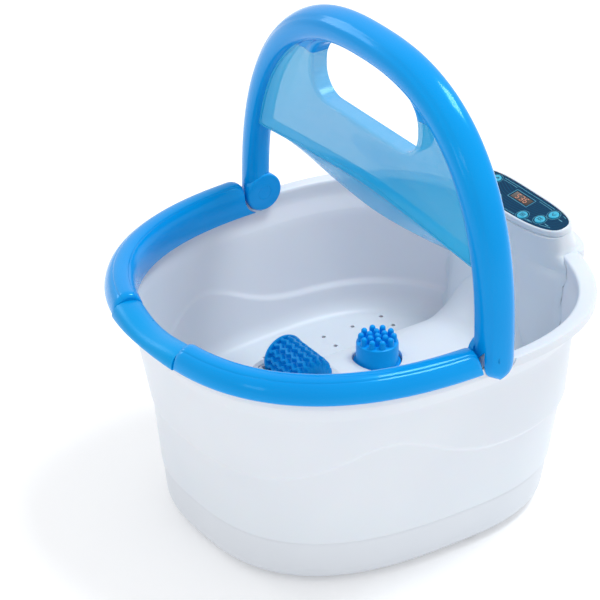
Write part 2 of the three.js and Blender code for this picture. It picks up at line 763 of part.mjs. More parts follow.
function makeRoller() {
  const { y, z, radius, body, halfLength, flange } = ROLLER;
  const core = rodX(-halfLength, halfLength, y, z, body, 20);
  const discs = [-1, 1].map((side) =>
    rodX(side * (halfLength - flange), side * halfLength, y, z, radius, 20));
  return join([core, ...discs]).subtract(rodX(-60, 60, y, z, 3 + GAP + 0.1, 12));
}

function makeMassageHead() {
  let head = rodZ(0, HEAD.y, HEAD.base, HEAD.top, HEAD.radius, 20);
  head = head.add(rodZ(0, HEAD.y, HEAD.base, HEAD.base + 3, HEAD.recess - 1, 20));
  const rings = [[0, 1], [8, 6], [15.2, 10]];
  const pins = rings.flatMap(([radius, count]) => Array.from({ length: count }, (_, i) => {
    const turn = ((i + 0.5) / count) * Math.PI * 2;
    const x = radius * Math.cos(turn);
    return rodZ(x, HEAD.y + radius * Math.sin(turn), HEAD.top - 1, HEAD.pinTop, 2.6, 5, 1.6);
  }));
  return join([head, ...pins]).subtract(rodZ(0, HEAD.y, HEAD.base - 5, 135, 9.5, 16));
}

function makeHeadGasket() {
  const disc = rodZ(0, HEAD.y, HEAD_RECESS_Z + GAP, HEAD.base - GAP, 18.5, 24);
  return disc.subtract(rodZ(0, HEAD.y, 110, 130, 10.5, 24));
}

// ---------------------------------------------------------------- works under the floor

const MOTOR = { y: 62, z: 100, radius: 12, x0: -10, x1: 24 };

function makeMotor() {
  const can = rodX(MOTOR.x0, MOTOR.x1, MOTOR.y, MOTOR.z, MOTOR.radius, 20);
  return can.add(rodX(-26, MOTOR.x0 + 1, MOTOR.y, MOTOR.z, 1.5, 10));
}

function makeMotorBracket() {
  const block = box(-4, 18, MOTOR.y - 15, MOTOR.y + 15, MOTOR.z, 125.2);
  return block.subtract(rodX(-40, 40, MOTOR.y, MOTOR.z, MOTOR.radius + GAP, 20));
}

function makeEccentric() {
  const { y, z } = MOTOR;
  const half = rodX(-25, -17, y, z, 10, 20).intersect(box(-40, 0, y - 20, y + 20, z - 20, z));
  return half.add(rodX(-25, -17, y, z, 4, 12)).subtract(rodX(-40, 0, y, z, 1.85, 10));
}

function makePump() {
  const body = box(-112, -50, -52, 2, 10, 46);
  return body.add(rodZ(-92, -25, 45, 50, 3, 8)).add(rodZ(-68, -25, 45, 50, 3, 8));
}

function makeManifold(side) {
  const [x0, x1] = side > 0 ? [90, 125] : [-125, -90];
  const tray = box(x0, x1, -80, 109, 70, FLOOR_UNDER_Z - GAP);
  const channel = box(x0 + 2, x1 - 2, -78, 107, 72.5, 90);
  return tray.subtract(channel).add(rodZ(side * 107, -25, 66, 71, 3, 8));
}

function makeHose(points, facets = 8) {
  const path = new THREE.CatmullRomCurve3(points.map((p) => new THREE.Vector3(...p)));
  const outline = new THREE.Shape();
  for (let i = 0; i < facets; i += 1) {
    const turn = (i / facets) * Math.PI * 2;
    const [x, y] = [3.5 * Math.cos(turn), 3.5 * Math.sin(turn)];
    if (i === 0) {
      outline.moveTo(x, y);
    } else {
      outline.lineTo(x, y);
    }
  }
  return toSolid(new THREE.ExtrudeGeometry(outline, { steps: 12, extrudePath: path, bevelEnabled: false }));
}

function makeMainBoard() {
  const sheet = box(50, 110, -60, 20, 14, 15.6);
  const parts = [box(56, 76, -50, -30, 15, 32), box(84, 100, -20, 10, 15, 27), rodZ(92, -42, 15, 34, 6, 12)];
  return join([sheet, ...parts]);
}

// ---------------------------------------------------------------- assembly

const spa = new THREE.Group();
spa.name = 'foot_spa_basin';
spa.position.y = CENTRE_SHIFT;

spa.add(piece('tub', 'white', makeTub()));
spa.add(piece('base_tray', 'tray', makeTray()));
FEET.forEach(([x, y], i) => spa.add(piece(`foot_${i + 1}`, 'rubber', makeFoot(x, y))));
SCREWS.forEach(([x, y], i) => spa.add(piece(`base_screw_${i + 1}`, 'steel', makeScrew(x, y))));
spa.add(piece('cord_gland', 'rubber', makeGland()));

spa.add(piece('rim_trim_left', 'blue', makeTrim(-1)));
spa.add(piece('rim_trim_right', 'blue', makeTrim(1)));
spa.add(piece('rim_saddle', 'blueGrip', makeSaddle()));

spa.add(piece('handle_arch', 'blue', makeArch()));
spa.add(piece('splash_guard', 'guard', makeGuard()));
for (const [label, side] of [['left', -1], ['right', 1]]) {
  spa.add(piece(`hinge_pin_${label}`, 'blue', makeHingePin(side)));
  spa.add(piece(`hinge_bush_${label}`, 'nylon', makeHingeBush(side)));
  spa.add(piece(`air_manifold_${label}`, 'nylon', makeManifold(side)));
}

spa.add(controlHead());

spa.add(piece('roller_cradle', 'white', makeCradle()));
spa.add(piece('roller_drum', 'softBlue', makeRoller()));
spa.add(piece('roller_axle', 'steel', rodX(-33, 33, ROLLER.y, ROLLER.z, 3, 12)));
spa.add(piece('massage_head', 'softBlue', makeMassageHead()));
spa.add(piece('head_gasket', 'rubber', makeHeadGasket()));

spa.add(piece('vibration_motor', 'steel', makeMotor()));
spa.add(piece('motor_bracket', 'dark', makeMotorBracket()));
spa.add(piece('eccentric_weight', 'brass', makeEccentric()));
spa.add(piece('air_pump', 'dark', makePump()));
spa.add(piece('air_hose_left', 'hose', makeHose([
  [-92, -25, 50.5], [-92, -25, 54], [-99.5, -25, 58], [-107, -25, 62], [-107, -25, 65.5],
])));
spa.add(piece('air_hose_right', 'hose', makeHose([
  [-68, -25, 50.5], [-68, -25, 55], [-30, -25, 61], [40, -25, 59], [107, -25, 59], [107, -25, 65.5],
])));
spa.add(piece('main_board', 'board', makeMainBoard()));
spa.add(piece('heater_plate', 'steel', box(67, 87, -110, 60, 78.6, FLOOR_UNDER_Z - GAP)));
spa.add(piece('thermistor', 'nylon', rodZ(77, 80, 74, FLOOR_UNDER_Z - GAP, 3, 10)));

export default spa;
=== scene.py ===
"""A foot spa basin: its finished surfaces and materials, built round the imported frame.

Shapes are worked out in millimetres about the handle's hinge plane (y = 0), as the frame's
own dimensions are, and each finished mesh is then scaled and moved into the frame's place.
"""

import json
from collections import namedtuple
from math import atan2, copysign, cos, exp, hypot, pi, radians, sin, sqrt, tan

import bmesh
import bpy
from mathutils import Matrix, Vector


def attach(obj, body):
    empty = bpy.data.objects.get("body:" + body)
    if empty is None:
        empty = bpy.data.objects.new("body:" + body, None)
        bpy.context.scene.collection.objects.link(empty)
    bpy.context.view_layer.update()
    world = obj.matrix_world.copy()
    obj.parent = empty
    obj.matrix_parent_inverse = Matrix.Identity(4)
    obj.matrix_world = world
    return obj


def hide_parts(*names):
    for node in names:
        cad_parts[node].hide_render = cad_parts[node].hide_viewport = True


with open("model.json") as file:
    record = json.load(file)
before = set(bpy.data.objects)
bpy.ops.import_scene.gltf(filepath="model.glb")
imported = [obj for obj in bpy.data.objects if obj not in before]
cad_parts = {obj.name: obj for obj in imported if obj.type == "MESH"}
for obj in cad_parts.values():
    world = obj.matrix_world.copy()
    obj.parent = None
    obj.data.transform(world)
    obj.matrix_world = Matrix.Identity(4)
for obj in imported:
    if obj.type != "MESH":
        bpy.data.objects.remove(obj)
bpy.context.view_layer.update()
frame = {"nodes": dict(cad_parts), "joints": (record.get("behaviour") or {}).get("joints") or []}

# ------------------------------------------------------------------ driving dimensions, mm

MM = 0.001
FOLD = next(joint for joint in frame["joints"] if joint["name"] == "handle_fold")
HINGE_Z = FOLD["pos_m"][2] / MM
TO_FRAME = Matrix.Translation((0, FOLD["pos_m"][1], 0)) @ Matrix.Scale(MM, 4)

Plan = namedtuple("Plan", "a front rear n_front n_rear")
FOOT_PLAN = Plan(138, 182, 150, 2.7, 2.6)
RIM_PLAN = Plan(181, 221, 176, 2.46, 2.62)
LIP_PLAN = Plan(190, 230, 190, 2.46, 2.65)
RING_PLAN = Plan(185, 225, 225, 2.46, 2.46)

WALL = 3.2
SIDES = 240
PARTING_Z = 48.3
FLOOR_Z = 86
NECK_Z = 190
LIP_UNDER_Z = 206
LIP_TOP_Z = 221
STEP_RISE = 5

ROLLER_Y, ROLLER_Z = -77, 149
HEAD_Y = 10
TOE = 21.4
GRIP_MIDDLE_Z = 402
GUARD_TOP_Z = 415
TOWER_Y = 169.5
PANEL_Z = 246
PANEL_TILT = radians(12)
BUTTON_SPOTS = [(side * x, y) for side in (-1, 1) for x, y in ((21, -11.5), (39, -5), (43.5, 8))]
FEET = [(-95, -110), (95, -110), (-95, 95), (95, 95)]
SCREWS = [(-70, -140), (70, -140), (-131, 20), (131, 20), (-70, 125), (70, 125)]

# ------------------------------------------------------------------ camera, lights and floor

AIM = Vector((0, FOLD["pos_m"][1], 0.150))
AZIMUTH, ELEVATION = radians(54.12), radians(31.13)
CAMERA_DISTANCE = 2.8827


def aim(obj, direction):
    obj.rotation_euler = direction.to_track_quat("-Z", "Y").to_euler()


def make_camera():
    camera = bpy.data.objects.new("camera", bpy.data.cameras.new("camera"))
    bpy.context.scene.collection.objects.link(camera)
    bpy.context.scene.camera = camera
    ahead = Vector((-sin(AZIMUTH) * cos(ELEVATION), cos(AZIMUTH) * cos(ELEVATION), -sin(ELEVATION)))
    right = ahead.cross(Vector((0, 0, 1))).normalized()
    up = right.cross(ahead)
    camera.location = AIM - ahead * CAMERA_DISTANCE
    aim(camera, ahead - 0.02206 * right + 0.01306 * up)
    camera.data.lens = 188
    camera.data.sensor_width = 36
    camera.data.clip_end = 60


def make_light(name, place, target, width, power, tint=(1, 1, 1)):
    light = bpy.data.lights.new(name, "AREA")
    light.shape = "SQUARE"
    light.size = width
    light.energy = power
    light.color = tint
    lamp = bpy.data.objects.new(name, light)
    bpy.context.scene.collection.objects.link(lamp)
    lamp.location = place
    aim(lamp, Vector(target) - Vector(place))


def make_studio():
    world = bpy.data.worlds.new("studio")
    world.use_nodes = True
    world.node_tree.nodes["Background"].inputs["Color"].default_value = (1, 1, 1, 1)
    world.node_tree.nodes["Background"].inputs["Strength"].default_value = 0.8
    bpy.context.scene.world = world
    bpy.context.scene.view_settings.view_transform = "Standard"
    make_light("overhead", (0.45, 1.2, 3.1), (0, 0, 0.1), 1.1, 54, (0.88, 0.95, 1.0))
    make_light("left_window", (-2.6, -1.0, 1.9), (0, 0, 0.25), 1.0, 9)
    make_light("front_strip", (1.0, -3.2, 1.5), (0, 0, 0.2), 0.8, 4)


# ------------------------------------------------------------------ shader sockets as numbers

OBJECT_COORDINATES = 3
BUMP_DEPTH = 0.0004


class Value:
    """A shader socket that takes part in arithmetic."""

    def __init__(self, finish, socket):
        self.finish = finish
        self.socket = socket

    def maths(self, operation, first, second):
        return self.finish.node("ShaderNodeMath", {"operation": operation}, {0: first, 1: second})

    def __add__(self, other):
        return self.maths("ADD", self, other)

    def __sub__(self, other):
        return self.maths("SUBTRACT", self, other)

    def __mul__(self, other):
        return self.maths("MULTIPLY", self, other)

    def __rsub__(self, other):
        return self.maths("SUBTRACT", other, self)

    __radd__ = __add__
    __rmul__ = __mul__

    def over(self, other):
        return self.maths("GREATER_THAN", self, other)

    def under(self, other):
        return self.maths("LESS_THAN", self, other)

    def wave(self):
        return self.maths("SINE", self, 0)


class Finish:
    """One material: a Principled surface with constants, and what varies over it."""

    def __init__(self, name, **constants):
        self.material = bpy.data.materials.new(name)
        self.material.use_nodes = True
        self.tree = self.material.node_tree
        self.surface = self.tree.nodes["Principled BSDF"]
        for label, amount in constants.items():
            self.surface.inputs[label.replace("_", " ")].default_value = amount

    def node(self, kind, settings=None, sockets=None, out=0):
        made = self.tree.nodes.new(kind)
        for label, choice in (settings or {}).items():
            if label == "stops":
                self.set_stops(made.color_ramp, choice)
            else:
                setattr(made, label, choice)
        for label, amount in (sockets or {}).items():
            self.feed(made.inputs[label], amount)
        return Value(self, made.outputs[out])

    def set_stops(self, ramp, stops):
        while len(ramp.elements) < len(stops):
            ramp.elements.new(1)
        for element, (place, colour) in zip(ramp.elements, stops):
            element.position = place
            element.color = (*colour, 1)

    def feed(self, target, amount):
        if isinstance(amount, Value):
            self.tree.links.new(amount.socket, target)
        elif isinstance(amount, tuple) and len(amount) == 3 and target.type == "RGBA":
            target.default_value = (*amount, 1)
        else:
            target.default_value = amount

    def varies(self, **inputs):
        for label, amount in inputs.items():
            self.feed(self.surface.inputs[label.replace("_", " ")], amount)

    def place(self):
        return self.node("ShaderNodeTexCoord", out=OBJECT_COORDINATES)

    def axes(self):
        """The object's own X, Y and Z."""
        split = self.node("ShaderNodeSeparateXYZ", None, {0: self.place()})
        return [Value(self, socket) for socket in split.socket.node.outputs]

    def noise(self, scale, detail=3.0, roughness=0.5):
        sockets = {"Vector": self.place(), "Scale": scale, "Detail": detail, "Roughness": roughness}
        return self.node("ShaderNodeTexNoise", None, sockets)

    def tint(self, share, first, second):
        ramp = {"stops": [(0.3, first), (0.7, second)]}
        return self.node("ShaderNodeValToRGB", ramp, {0: share})

    def bump(self, height, strength):
        sockets = {"Height": height, "Strength": strength, "Distance": BUMP_DEPTH}
        return self.node("ShaderNodeBump", None, sockets)


def srgb(red, green, blue):
    """An 0-255 display colour as the linear colour that shaders take."""
    scaled = [channel / 255 for channel in (red, green, blue)]
    return tuple(c / 12.92 if c <= 0.04045 else ((c + 0.055) / 1.055) ** 2.4 for c in scaled)


def moulded(name, light, dark, roughness, grain=900, grain_depth=0.05, mottle=6, **constants):
    """Moulded plastic: a slow drift of colour, uneven gloss and a fine skin."""
    made = Finish(name, **constants)
    drift = made.noise(mottle, 2)
    skin = made.noise(grain, 2)
    handling = made.noise(38, 4, 0.6)
    made.varies(
        Base_Color=made.tint(drift, dark, light),
        Roughness=handling * 0.14 + (roughness - 0.07),
        Normal=made.bump(skin, grain_depth),
    )
    return made.material


# ------------------------------------------------------------------ materials


def white_shell():
    return moulded("white_shell", srgb(222, 227, 233), srgb(215, 221, 229), 0.34,
                   IOR=1.48, Subsurface_Weight=0.1, Subsurface_Scale=0.008, Specular_IOR_Level=0.4)


def white_base():
    return moulded("white_base", srgb(219, 223, 229), srgb(212, 217, 224), 0.4, Specular_IOR_Level=0.4)


def glossy_blue():
    return moulded("glossy_blue", srgb(0, 152, 228), srgb(0, 143, 221), 0.2, grain_depth=0.015,
                   Specular_IOR_Level=0.5, Specular_Tint=(0.04, 0.62, 1.0, 1), Coat_Weight=0.24,
                   Coat_Roughness=0.04)


def satin_blue():
    return moulded("satin_blue", srgb(0, 154, 224), srgb(0, 144, 216), 0.3, grain=1400, grain_depth=0.12,
                   Specular_IOR_Level=0.5, Specular_Tint=(0.04, 0.62, 1.0, 1), Coat_Weight=0.06,
                   Coat_Roughness=0.18)


def clear_blue():
    made = Finish("clear_blue", Coat_Weight=0.2, Coat_Roughness=0.05, IOR=1.49,
                  Specular_IOR_Level=0.3, Specular_Tint=(0.3, 0.85, 1.0, 1))
    drift = made.noise(4, 2)
    flow = made.noise(60, 3, 0.55)
    made.varies(
        Base_Color=made.tint(drift, srgb(22, 174, 228), srgb(54, 190, 236)),
        Roughness=flow * 0.1 + 0.12,
        Alpha=drift * 0.14 + 0.6,
        Normal=made.bump(made.noise(700, 2), 0.02),
    )
    made.material.surface_render_method = "BLENDED"
    return made.material


def soft_blue():
    return moulded("soft_blue", srgb(4, 162, 240), srgb(0, 148, 230), 0.36, grain=1600, grain_depth=0.16,
                   Specular_IOR_Level=0.45, Specular_Tint=(0.1, 0.6, 1.0, 1), Coat_Weight=0.06,
                   Coat_Roughness=0.25)


def dark_panel():
    """The printed sheet: deep teal, with fine lighter contour lines that sweep across it."""
    made = Finish("dark_panel", Specular_IOR_Level=0.08, Coat_Weight=0.03, Coat_Roughness=0.08)
    across, along, _ = made.axes()
    sway = made.noise(22, 1)
    contour = ((along - across * across * 5.0) * 2400 + sway * 34).wave()
    line = contour.over(0.93)
    made.varies(
        Base_Color=made.node("ShaderNodeMix", {"data_type": "RGBA"},
                             {0: line * 0.4, 6: srgb(1, 52, 82), 7: srgb(10, 120, 158)}, out=2),
        Roughness=made.noise(120, 3) * 0.1 + 0.2,
    )
    return made.material


def smoked_lens():
    return moulded("smoked_lens", srgb(44, 22, 20), srgb(30, 16, 16), 0.1, grain_depth=0.0,
                   Coat_Weight=1.0, Coat_Roughness=0.03)


def lit_digit():
    made = Finish("lit_digit", Emission_Strength=0.3)
    glow = made.tint(made.noise(300, 1), srgb(190, 118, 96), srgb(206, 142, 118))
    made.varies(Base_Color=glow, Emission_Color=glow)
    return made.material


def pale_print():
    return moulded("pale_print", srgb(96, 176, 196), srgb(72, 152, 178), 0.4, grain_depth=0.02)


def key_blue():
    return moulded("key_blue", srgb(40, 184, 214), srgb(24, 160, 194), 0.34, grain=1500, grain_depth=0.08,
                   Coat_Weight=0.3, Coat_Roughness=0.2)


def key_print():
    return moulded("key_print", srgb(8, 60, 88), srgb(4, 48, 74), 0.45, grain_depth=0.03)


def black_rubber():
    return moulded("black_rubber", srgb(74, 79, 85), srgb(54, 58, 63), 0.78, grain=1100, grain_depth=0.35)


def bright_steel():
    return moulded("bright_steel", srgb(214, 216, 220), srgb(190, 193, 198), 0.28, grain=500,
                   grain_depth=0.08, Metallic=1.0)


def warm_brass():
    return moulded("warm_brass", srgb(214, 178, 104), srgb(190, 150, 84), 0.34, grain=500,
                   grain_depth=0.08, Metallic=1.0)


def green_board():
    made = Finish("green_board", Coat_Weight=0.5, Coat_Roughness=0.15)
    cells = made.node("ShaderNodeTexVoronoi", {"feature": "DISTANCE_TO_EDGE"},
                      {"Vector": made.place(), "Scale": 180})
    track = cells.under(0.06)
    made.varies(
        Base_Color=made.node("ShaderNodeMix", {"data_type": "RGBA"},
                             {0: track, 6: srgb(24, 96, 54), 7: srgb(70, 146, 92)}, out=2),
        Roughness=track * 0.1 + 0.38,
    )
    return made.material


def dark_casing():
    return moulded("dark_casing", srgb(48, 52, 58), srgb(34, 37, 42), 0.48, grain=800, grain_depth=0.2)


def pale_nylon():
    return moulded("pale_nylon", srgb(238, 235, 226), srgb(226, 222, 210), 0.5, grain_depth=0.08)


def clear_hose():
    return moulded("clear_hose", srgb(214, 224, 228), srgb(196, 208, 214), 0.3, grain_depth=0.04,
                   Coat_Weight=0.4)


def studio_floor():
    return moulded("studio_floor", (0.93, 0.93, 0.935), (0.92, 0.92, 0.925), 0.6, mottle=0.4,
                   Emission_Color=(1, 1, 1, 1), Emission_Strength=0.16)


MATERIALS = {
    "white": white_shell(), "tray": white_base(), "blue": glossy_blue(), "blue_grip": satin_blue(),
    "guard": clear_blue(), "soft_blue": soft_blue(), "panel": dark_panel(), "lens": smoked_lens(),
    "digit": lit_digit(), "print": pale_print(), "key": key_blue(), "key_print": key_print(),
    "rubber": black_rubber(), "steel": bright_steel(), "brass": warm_brass(), "board": green_board(),
    "dark": dark_casing(), "nylon": pale_nylon(), "hose": clear_hose(), "floor": studio_floor(),
}

# ------------------------------------------------------------------ mesh helpers


MERGE_GAP = 0.0005
SHARP_ANGLE = radians(38)


def mix(first, second, share):
    return first + (second - first) * share


def ease(share):
    share = min(1.0, max(0.0, share))
    return share * share * (3 - 2 * share)


def spread(count, first=0.0, last=1.0):
    return [mix(first, last, i / (count - 1)) for i in range(count)]


def mesh_object(name, bm):
    mesh = bpy.data.meshes.new(name)
    bm.to_mesh(mesh)
    bm.free()
    made = bpy.data.objects.new(name, mesh)
    bpy.context.scene.collection.objects.link(made)
    return made


def tidy(bm):
    """Merges doubles, drops what that leaves without faces, and turns the faces outwards."""
    bmesh.ops.remove_doubles(bm, verts=bm.verts, dist=MERGE_GAP)
    loose = [edge for edge in bm.edges if not edge.link_faces]
    bmesh.ops.delete(bm, geom=loose, context="EDGES")
    bmesh.ops.recalc_face_normals(bm, faces=bm.faces)
    return bm


def skin(rings, loop=False, caps=True):
    """A skin through rings of equal length. A loop joins its last ring to its first."""
    rows = rings + [rings[0]] if loop else rings
    around, along = len(rows[0]), len(rows) - 1
    bm = bmesh.new()
    bmesh.ops.create_grid(bm, x_segments=around, y_segments=along, size=1)
    for vert in bm.verts:
        column = round((vert.co.x + 1) / 2 * around) % around
        row = round((vert.co.y + 1) / 2 * along)
        vert.co = rows[row][column]
    bmesh.ops.remove_doubles(bm, verts=bm.verts, dist=MERGE_GAP)
    if caps and not loop:
        open_edges = [edge for edge in bm.edges if edge.is_boundary]
        bmesh.ops.holes_fill(bm, edges=open_edges, sides=0)
    return tidy(bm)


def turned(profile, steps=48):
    """A closed solid of revolution about Z from (radius, height) points that start and end on it."""
    bm = bmesh.new()
    verts = [bm.verts.new((radius, 0, height)) for radius, height in profile]
    edges = [bm.edges.new(pair) for pair in zip(verts, verts[1:])]
    bmesh.ops.spin(bm, geom=verts + edges, cent=(0, 0, 0), axis=(0, 0, 1), dvec=(0, 0, 0),
                   angle=2 * pi, steps=steps, use_merge=True, use_duplicate=False)
    return tidy(bm)


def hollow_turned(profile, steps=48):
    """A ring of revolution about Z from a closed (radius, height) outline."""
    return turned(profile + [profile[0]], steps)


def block(low, high, round_by=1.0, segments=2):
    bm = bmesh.new()
    bmesh.ops.create_cube(bm, size=1)
    size = Vector(high) - Vector(low)
    bmesh.ops.scale(bm, vec=size, verts=bm.verts)
    bmesh.ops.translate(bm, vec=(Vector(low) + Vector(high)) / 2, verts=bm.verts)
    bmesh.ops.bevel(bm, geom=bm.edges[:], offset=round_by, segments=segments, profile=0.5,
                    affect="EDGES", material=-1)
    return bm


def moved(bm, matrix):
    bmesh.ops.transform(bm, matrix=matrix, verts=bm.verts)
    return bm


def shifted(bm, x, y, z):
    return moved(bm, Matrix.Translation((x, y, z)))


def along_x(bm, x, y, z, side=1):
    """Lays a turned piece's axis along X, its top towards `side`."""
    return moved(bm, Matrix.Translation((x, y, z)) @ Matrix.Rotation(side * pi / 2, 4, "Y"))


def merged(parts):
    whole = bmesh.new()
    for part in parts:
        mesh = bpy.data.meshes.new("part")
        part.to_mesh(mesh)
        part.free()
        whole.from_mesh(mesh)
        bpy.data.meshes.remove(mesh)
    return whole


def carved(bm, cutters, round_by=0.0, round_past=55):
    """bm with each cutter's space taken out, and the new sharp edges rounded."""
    body = mesh_object("carving", bm)
    tools = [mesh_object("cutter", cutter) for cutter in cutters]
    for tool in tools:
        cut = body.modifiers.new("cut", "BOOLEAN")
        cut.operation = "DIFFERENCE"
        cut.solver = "EXACT"
        cut.object = tool
    if round_by:
        edge = body.modifiers.new("edge", "BEVEL")
        edge.width = round_by
        edge.segments = 2
        edge.limit_method = "ANGLE"
        edge.angle_limit = radians(round_past)
    bpy.context.view_layer.update()
    shaped = body.evaluated_get(bpy.context.evaluated_depsgraph_get())
    result = bmesh.new()
    result.from_mesh(shaped.to_mesh())
    shaped.to_mesh_clear()
    for spare in [body, *tools]:
        bpy.data.objects.remove(spare)
    return result


def rod(radius, low, high, steps=48):
    return turned([(0, low), (radius, low), (radius, high), (0, high)], steps)


def piece(name, bm, slot, body="basin", replaces=None, look=None):
    """Puts a finished mesh into the frame, with its material (named by `look`, else by `slot`) and its body,
    and hides the CAD nodes it replaces.
    """
    moved(bm, TO_FRAME)
    made = mesh_object(name, bm)
    made.data.materials.append(MATERIALS[look or slot])
    made.data.polygons.foreach_set("use_smooth", [True] * len(made.data.polygons))
    made.data.set_sharp_from_angle(angle=SHARP_ANGLE)
    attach(made, body)
    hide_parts(*(replaces or [name]))
    return made


# ------------------------------------------------------------------ outlines


def plan_point(angle, plan, grow=0.0):
    across, along = cos(angle), sin(angle)
    reach = (plan.front if along < 0 else plan.rear) + grow
    n = plan.n_front if along < 0 else plan.n_rear
    radius = ((abs(across) / (plan.a + grow)) ** n + (abs(along) / reach) ** n) ** (-1 / n)
    return radius * across, radius * along


def mix_plans(first, second, share):
    return Plan(*(mix(p, q, share) for p, q in zip(first, second)))


def turns(count):
    return [(i + 0.5) / count * 2 * pi for i in range(count)]


def plan_ring(plan, z, grow=0.0, y=0.0, count=SIDES):
    return [(px, py + y, z) for px, py in (plan_point(turn, plan, grow) for turn in turns(count))]


def rearness(angle):
    return (1 + sin(angle)) / 2


def wave_height(angle):
    y = plan_point(angle, mix_plans(FOOT_PLAN, RIM_PLAN, 0.5))[1]
    return 112 + 38 * exp(-(((y + 85) / 62) ** 2))


def lower_share(angle, z):
    return mix(0.135 + 0.0025 * z, 0.18 + 0.004 * z, rearness(angle))


def raw_share(angle, z):
    crest = wave_height(angle)
    foot = lower_share(angle, min(z, crest))
    shelf = foot + mix(0.055, 0.11, rearness(angle)) * ease((z - crest) / STEP_RISE)
    start = crest + STEP_RISE
    if z <= start:
        return shelf
    if z <= NECK_Z:
        return mix(shelf, 0.84, (z - start) / (NECK_Z - start))
    return mix(0.84, 1, min(1, (z - NECK_Z) / (LIP_UNDER_Z - NECK_Z)))


def wall_share(angle, z):
    reach = 1.1
    return sum(raw_share(angle, z + step * reach) for step in (-1, -0.5, 0, 0.5, 1)) / 5


def wall_ring(height, grow=0.0):
    ring = []
    for turn in turns(SIDES):
        z = height(turn) if callable(height) else height
        x, y = plan_point(turn, mix_plans(FOOT_PLAN, RIM_PLAN, wall_share(turn, z)), grow)
        ring.append((x, y, z))
    return ring


def wall_levels(low):
    """Heights up the wall that follow the wave line, from `low` to the lip."""
    under = [lambda turn, t=t: mix(low, wave_height(turn) - 3, t) for t in spread(9)]
    over = [lambda turn, t=t: wave_height(turn) - 1.5 + t * 12 for t in spread(9)]
    above = [lambda turn, t=t: mix(wave_height(turn) + 13, NECK_Z, t) for t in spread(8)]
    return under + over + above + [192, 195, 199, 203]


# ------------------------------------------------------------------ the tub


def bowl():
    outside = [wall_ring(level) for level in [PARTING_Z, *wall_levels(PARTING_Z + 2)]]
    collar = [plan_ring(RIM_PLAN, z) for z in (LIP_UNDER_Z, 211, 216)]
    lip = [(-3.4, 217.8), (-2.7, 217.2), (-2.6, 212.3), (-2.2, 211.6), (-0.8, 211.4), (-0.1, 212),
           (0, 214), (0, 218.6), (-0.4, 220.1), (-1.6, 221), (-4.5, 221)]
    lip_rows = [plan_ring(LIP_PLAN, z, grow) for grow, z in lip]
    mouth = [(-0.6, 221), (-2.2, 220.5), (-3.1, 219.3), (-3.3, 217), (-3.2, 212), (-3.2, 207)]
    mouth_rows = [plan_ring(RIM_PLAN, z, grow) for grow, z in mouth]
    inside = [wall_ring(level, -WALL) for level in reversed(wall_levels(103))]
    fillet = [wall_ring(101 - 15 * sin(t), -15.2 + 12 * cos(t)) for t in spread(7, 0.1, pi / 2)]
    edge = wall_ring(FLOOR_Z, -15.4)
    floor = [[(x * s, y * s, FLOOR_Z) for x, y, _ in edge] for s in (0.97, 0.85, 0.6, 0.3, 0)]
    under = wall_ring(FLOOR_Z - WALL, -WALL)
    below = [[(x * s, y * s, z) for x, y, z in under] for s in (0, 0.5, 0.97)]
    skirt = [wall_ring(z, -WALL) for z in (FLOOR_Z - 6, 65, PARTING_Z)]
    rows = [*outside, *collar, *lip_rows, *mouth_rows, *inside, *fillet, *floor, *below, *skirt]
    return skin(rows, loop=True)


def ridge_row(y):
    """One section across the massage ridge, with a foot that sweeps into the floor."""
    run = max(0.0, (-95 - y) / 55)
    round_off = sqrt(max(0.0, 1 - run * run))
    rise = (y - 100) ** 2 / 40 if y > 100 else 0
    height = (131 + rise - 84.4) * max(round_off, 0.02)
    width = 64 * max(sqrt(round_off), 0.3)
    arc = [(width * cos(turn), y, 84.4 + height * sin(turn)) for turn in spread(33, 0.2, pi - 0.2)]
    toe_z = arc[0][2]
    flare = 8 * min(1, height / 20)
    toe = [(arc[0][0] + flare * (1 - sqrt(1 - t * t)) + 0.8 * t, mix(toe_z, 85.4, t))
           for t in (0.4, 0.65, 0.82, 0.93, 1)]
    right = [(x, y, z) for x, z in reversed(toe)]
    left = [(-x, y, z) for x, z in toe]
    return [(toe[-1][0], y, 84), *right, *arc, *left, (-toe[-1][0], y, 84)]


def ridge():
    ends = [-149.6, -148.6, -147, -144, -140, -134, -126, -118, -108]
    stations = ends + spread(18, -95, 90) + spread(14, 100, 150)
    recess = shifted(rod(23.4, 121.7, 170, 64), 0, HEAD_Y, 0)
    return carved(skin([ridge_row(y) for y in stations]), [recess, cradle_hole()], round_by=1.1)


def cradle_hole():
    bm = block((-33.7, ROLLER_Y - 24.3, 123.7), (33.7, ROLLER_Y + 24.3, 172), 3)
    return bm


def mound():
    levels = [(60, 56, 112), (56, 51, 117), (52.4, 46, 122), (49.8, 42.4, 127), (47.2, 38.8, 132),
              (44.8, 35.8, 136.4), (43.4, 34.4, 139), (41.8, 32.8, 141), (39.8, 30.8, 142)]
    rings = [plan_ring(Plan(a, b, b, 3.6, 3.6), z, y=ROLLER_Y, count=72) for a, b, z in levels]
    return carved(skin(rings), [cradle_hole()], round_by=0.8)


TOWER_SIDES = 200
FLARE = 16
TOWER_LEVELS = [
    (PARTING_Z, 132, 56, 20, 27), (85, 150, 70, 26, 19), (120, 155, 75, 24, 27),
    (160, 160, 75, 21, 34), (205, 167, 73, 19, 35),
]


def tower_level(z):
    """The tower column's middle and reaches at a height, eased between its main levels."""
    below = max((row for row in TOWER_LEVELS if row[0] <= z), default=TOWER_LEVELS[0])
    above = min((row for row in TOWER_LEVELS if row[0] >= z), default=TOWER_LEVELS[-1])
    share = 0 if above[0] == below[0] else (z - below[0]) / (above[0] - below[0])
    return [mix(low, high, share) for low, high in zip(below, above)][1:]


def tower_ring(z, y, a, front, rear, grow=0.0):
    return plan_ring(Plan(a, front, rear, 2.5, 3), z, grow, y, TOWER_SIDES)


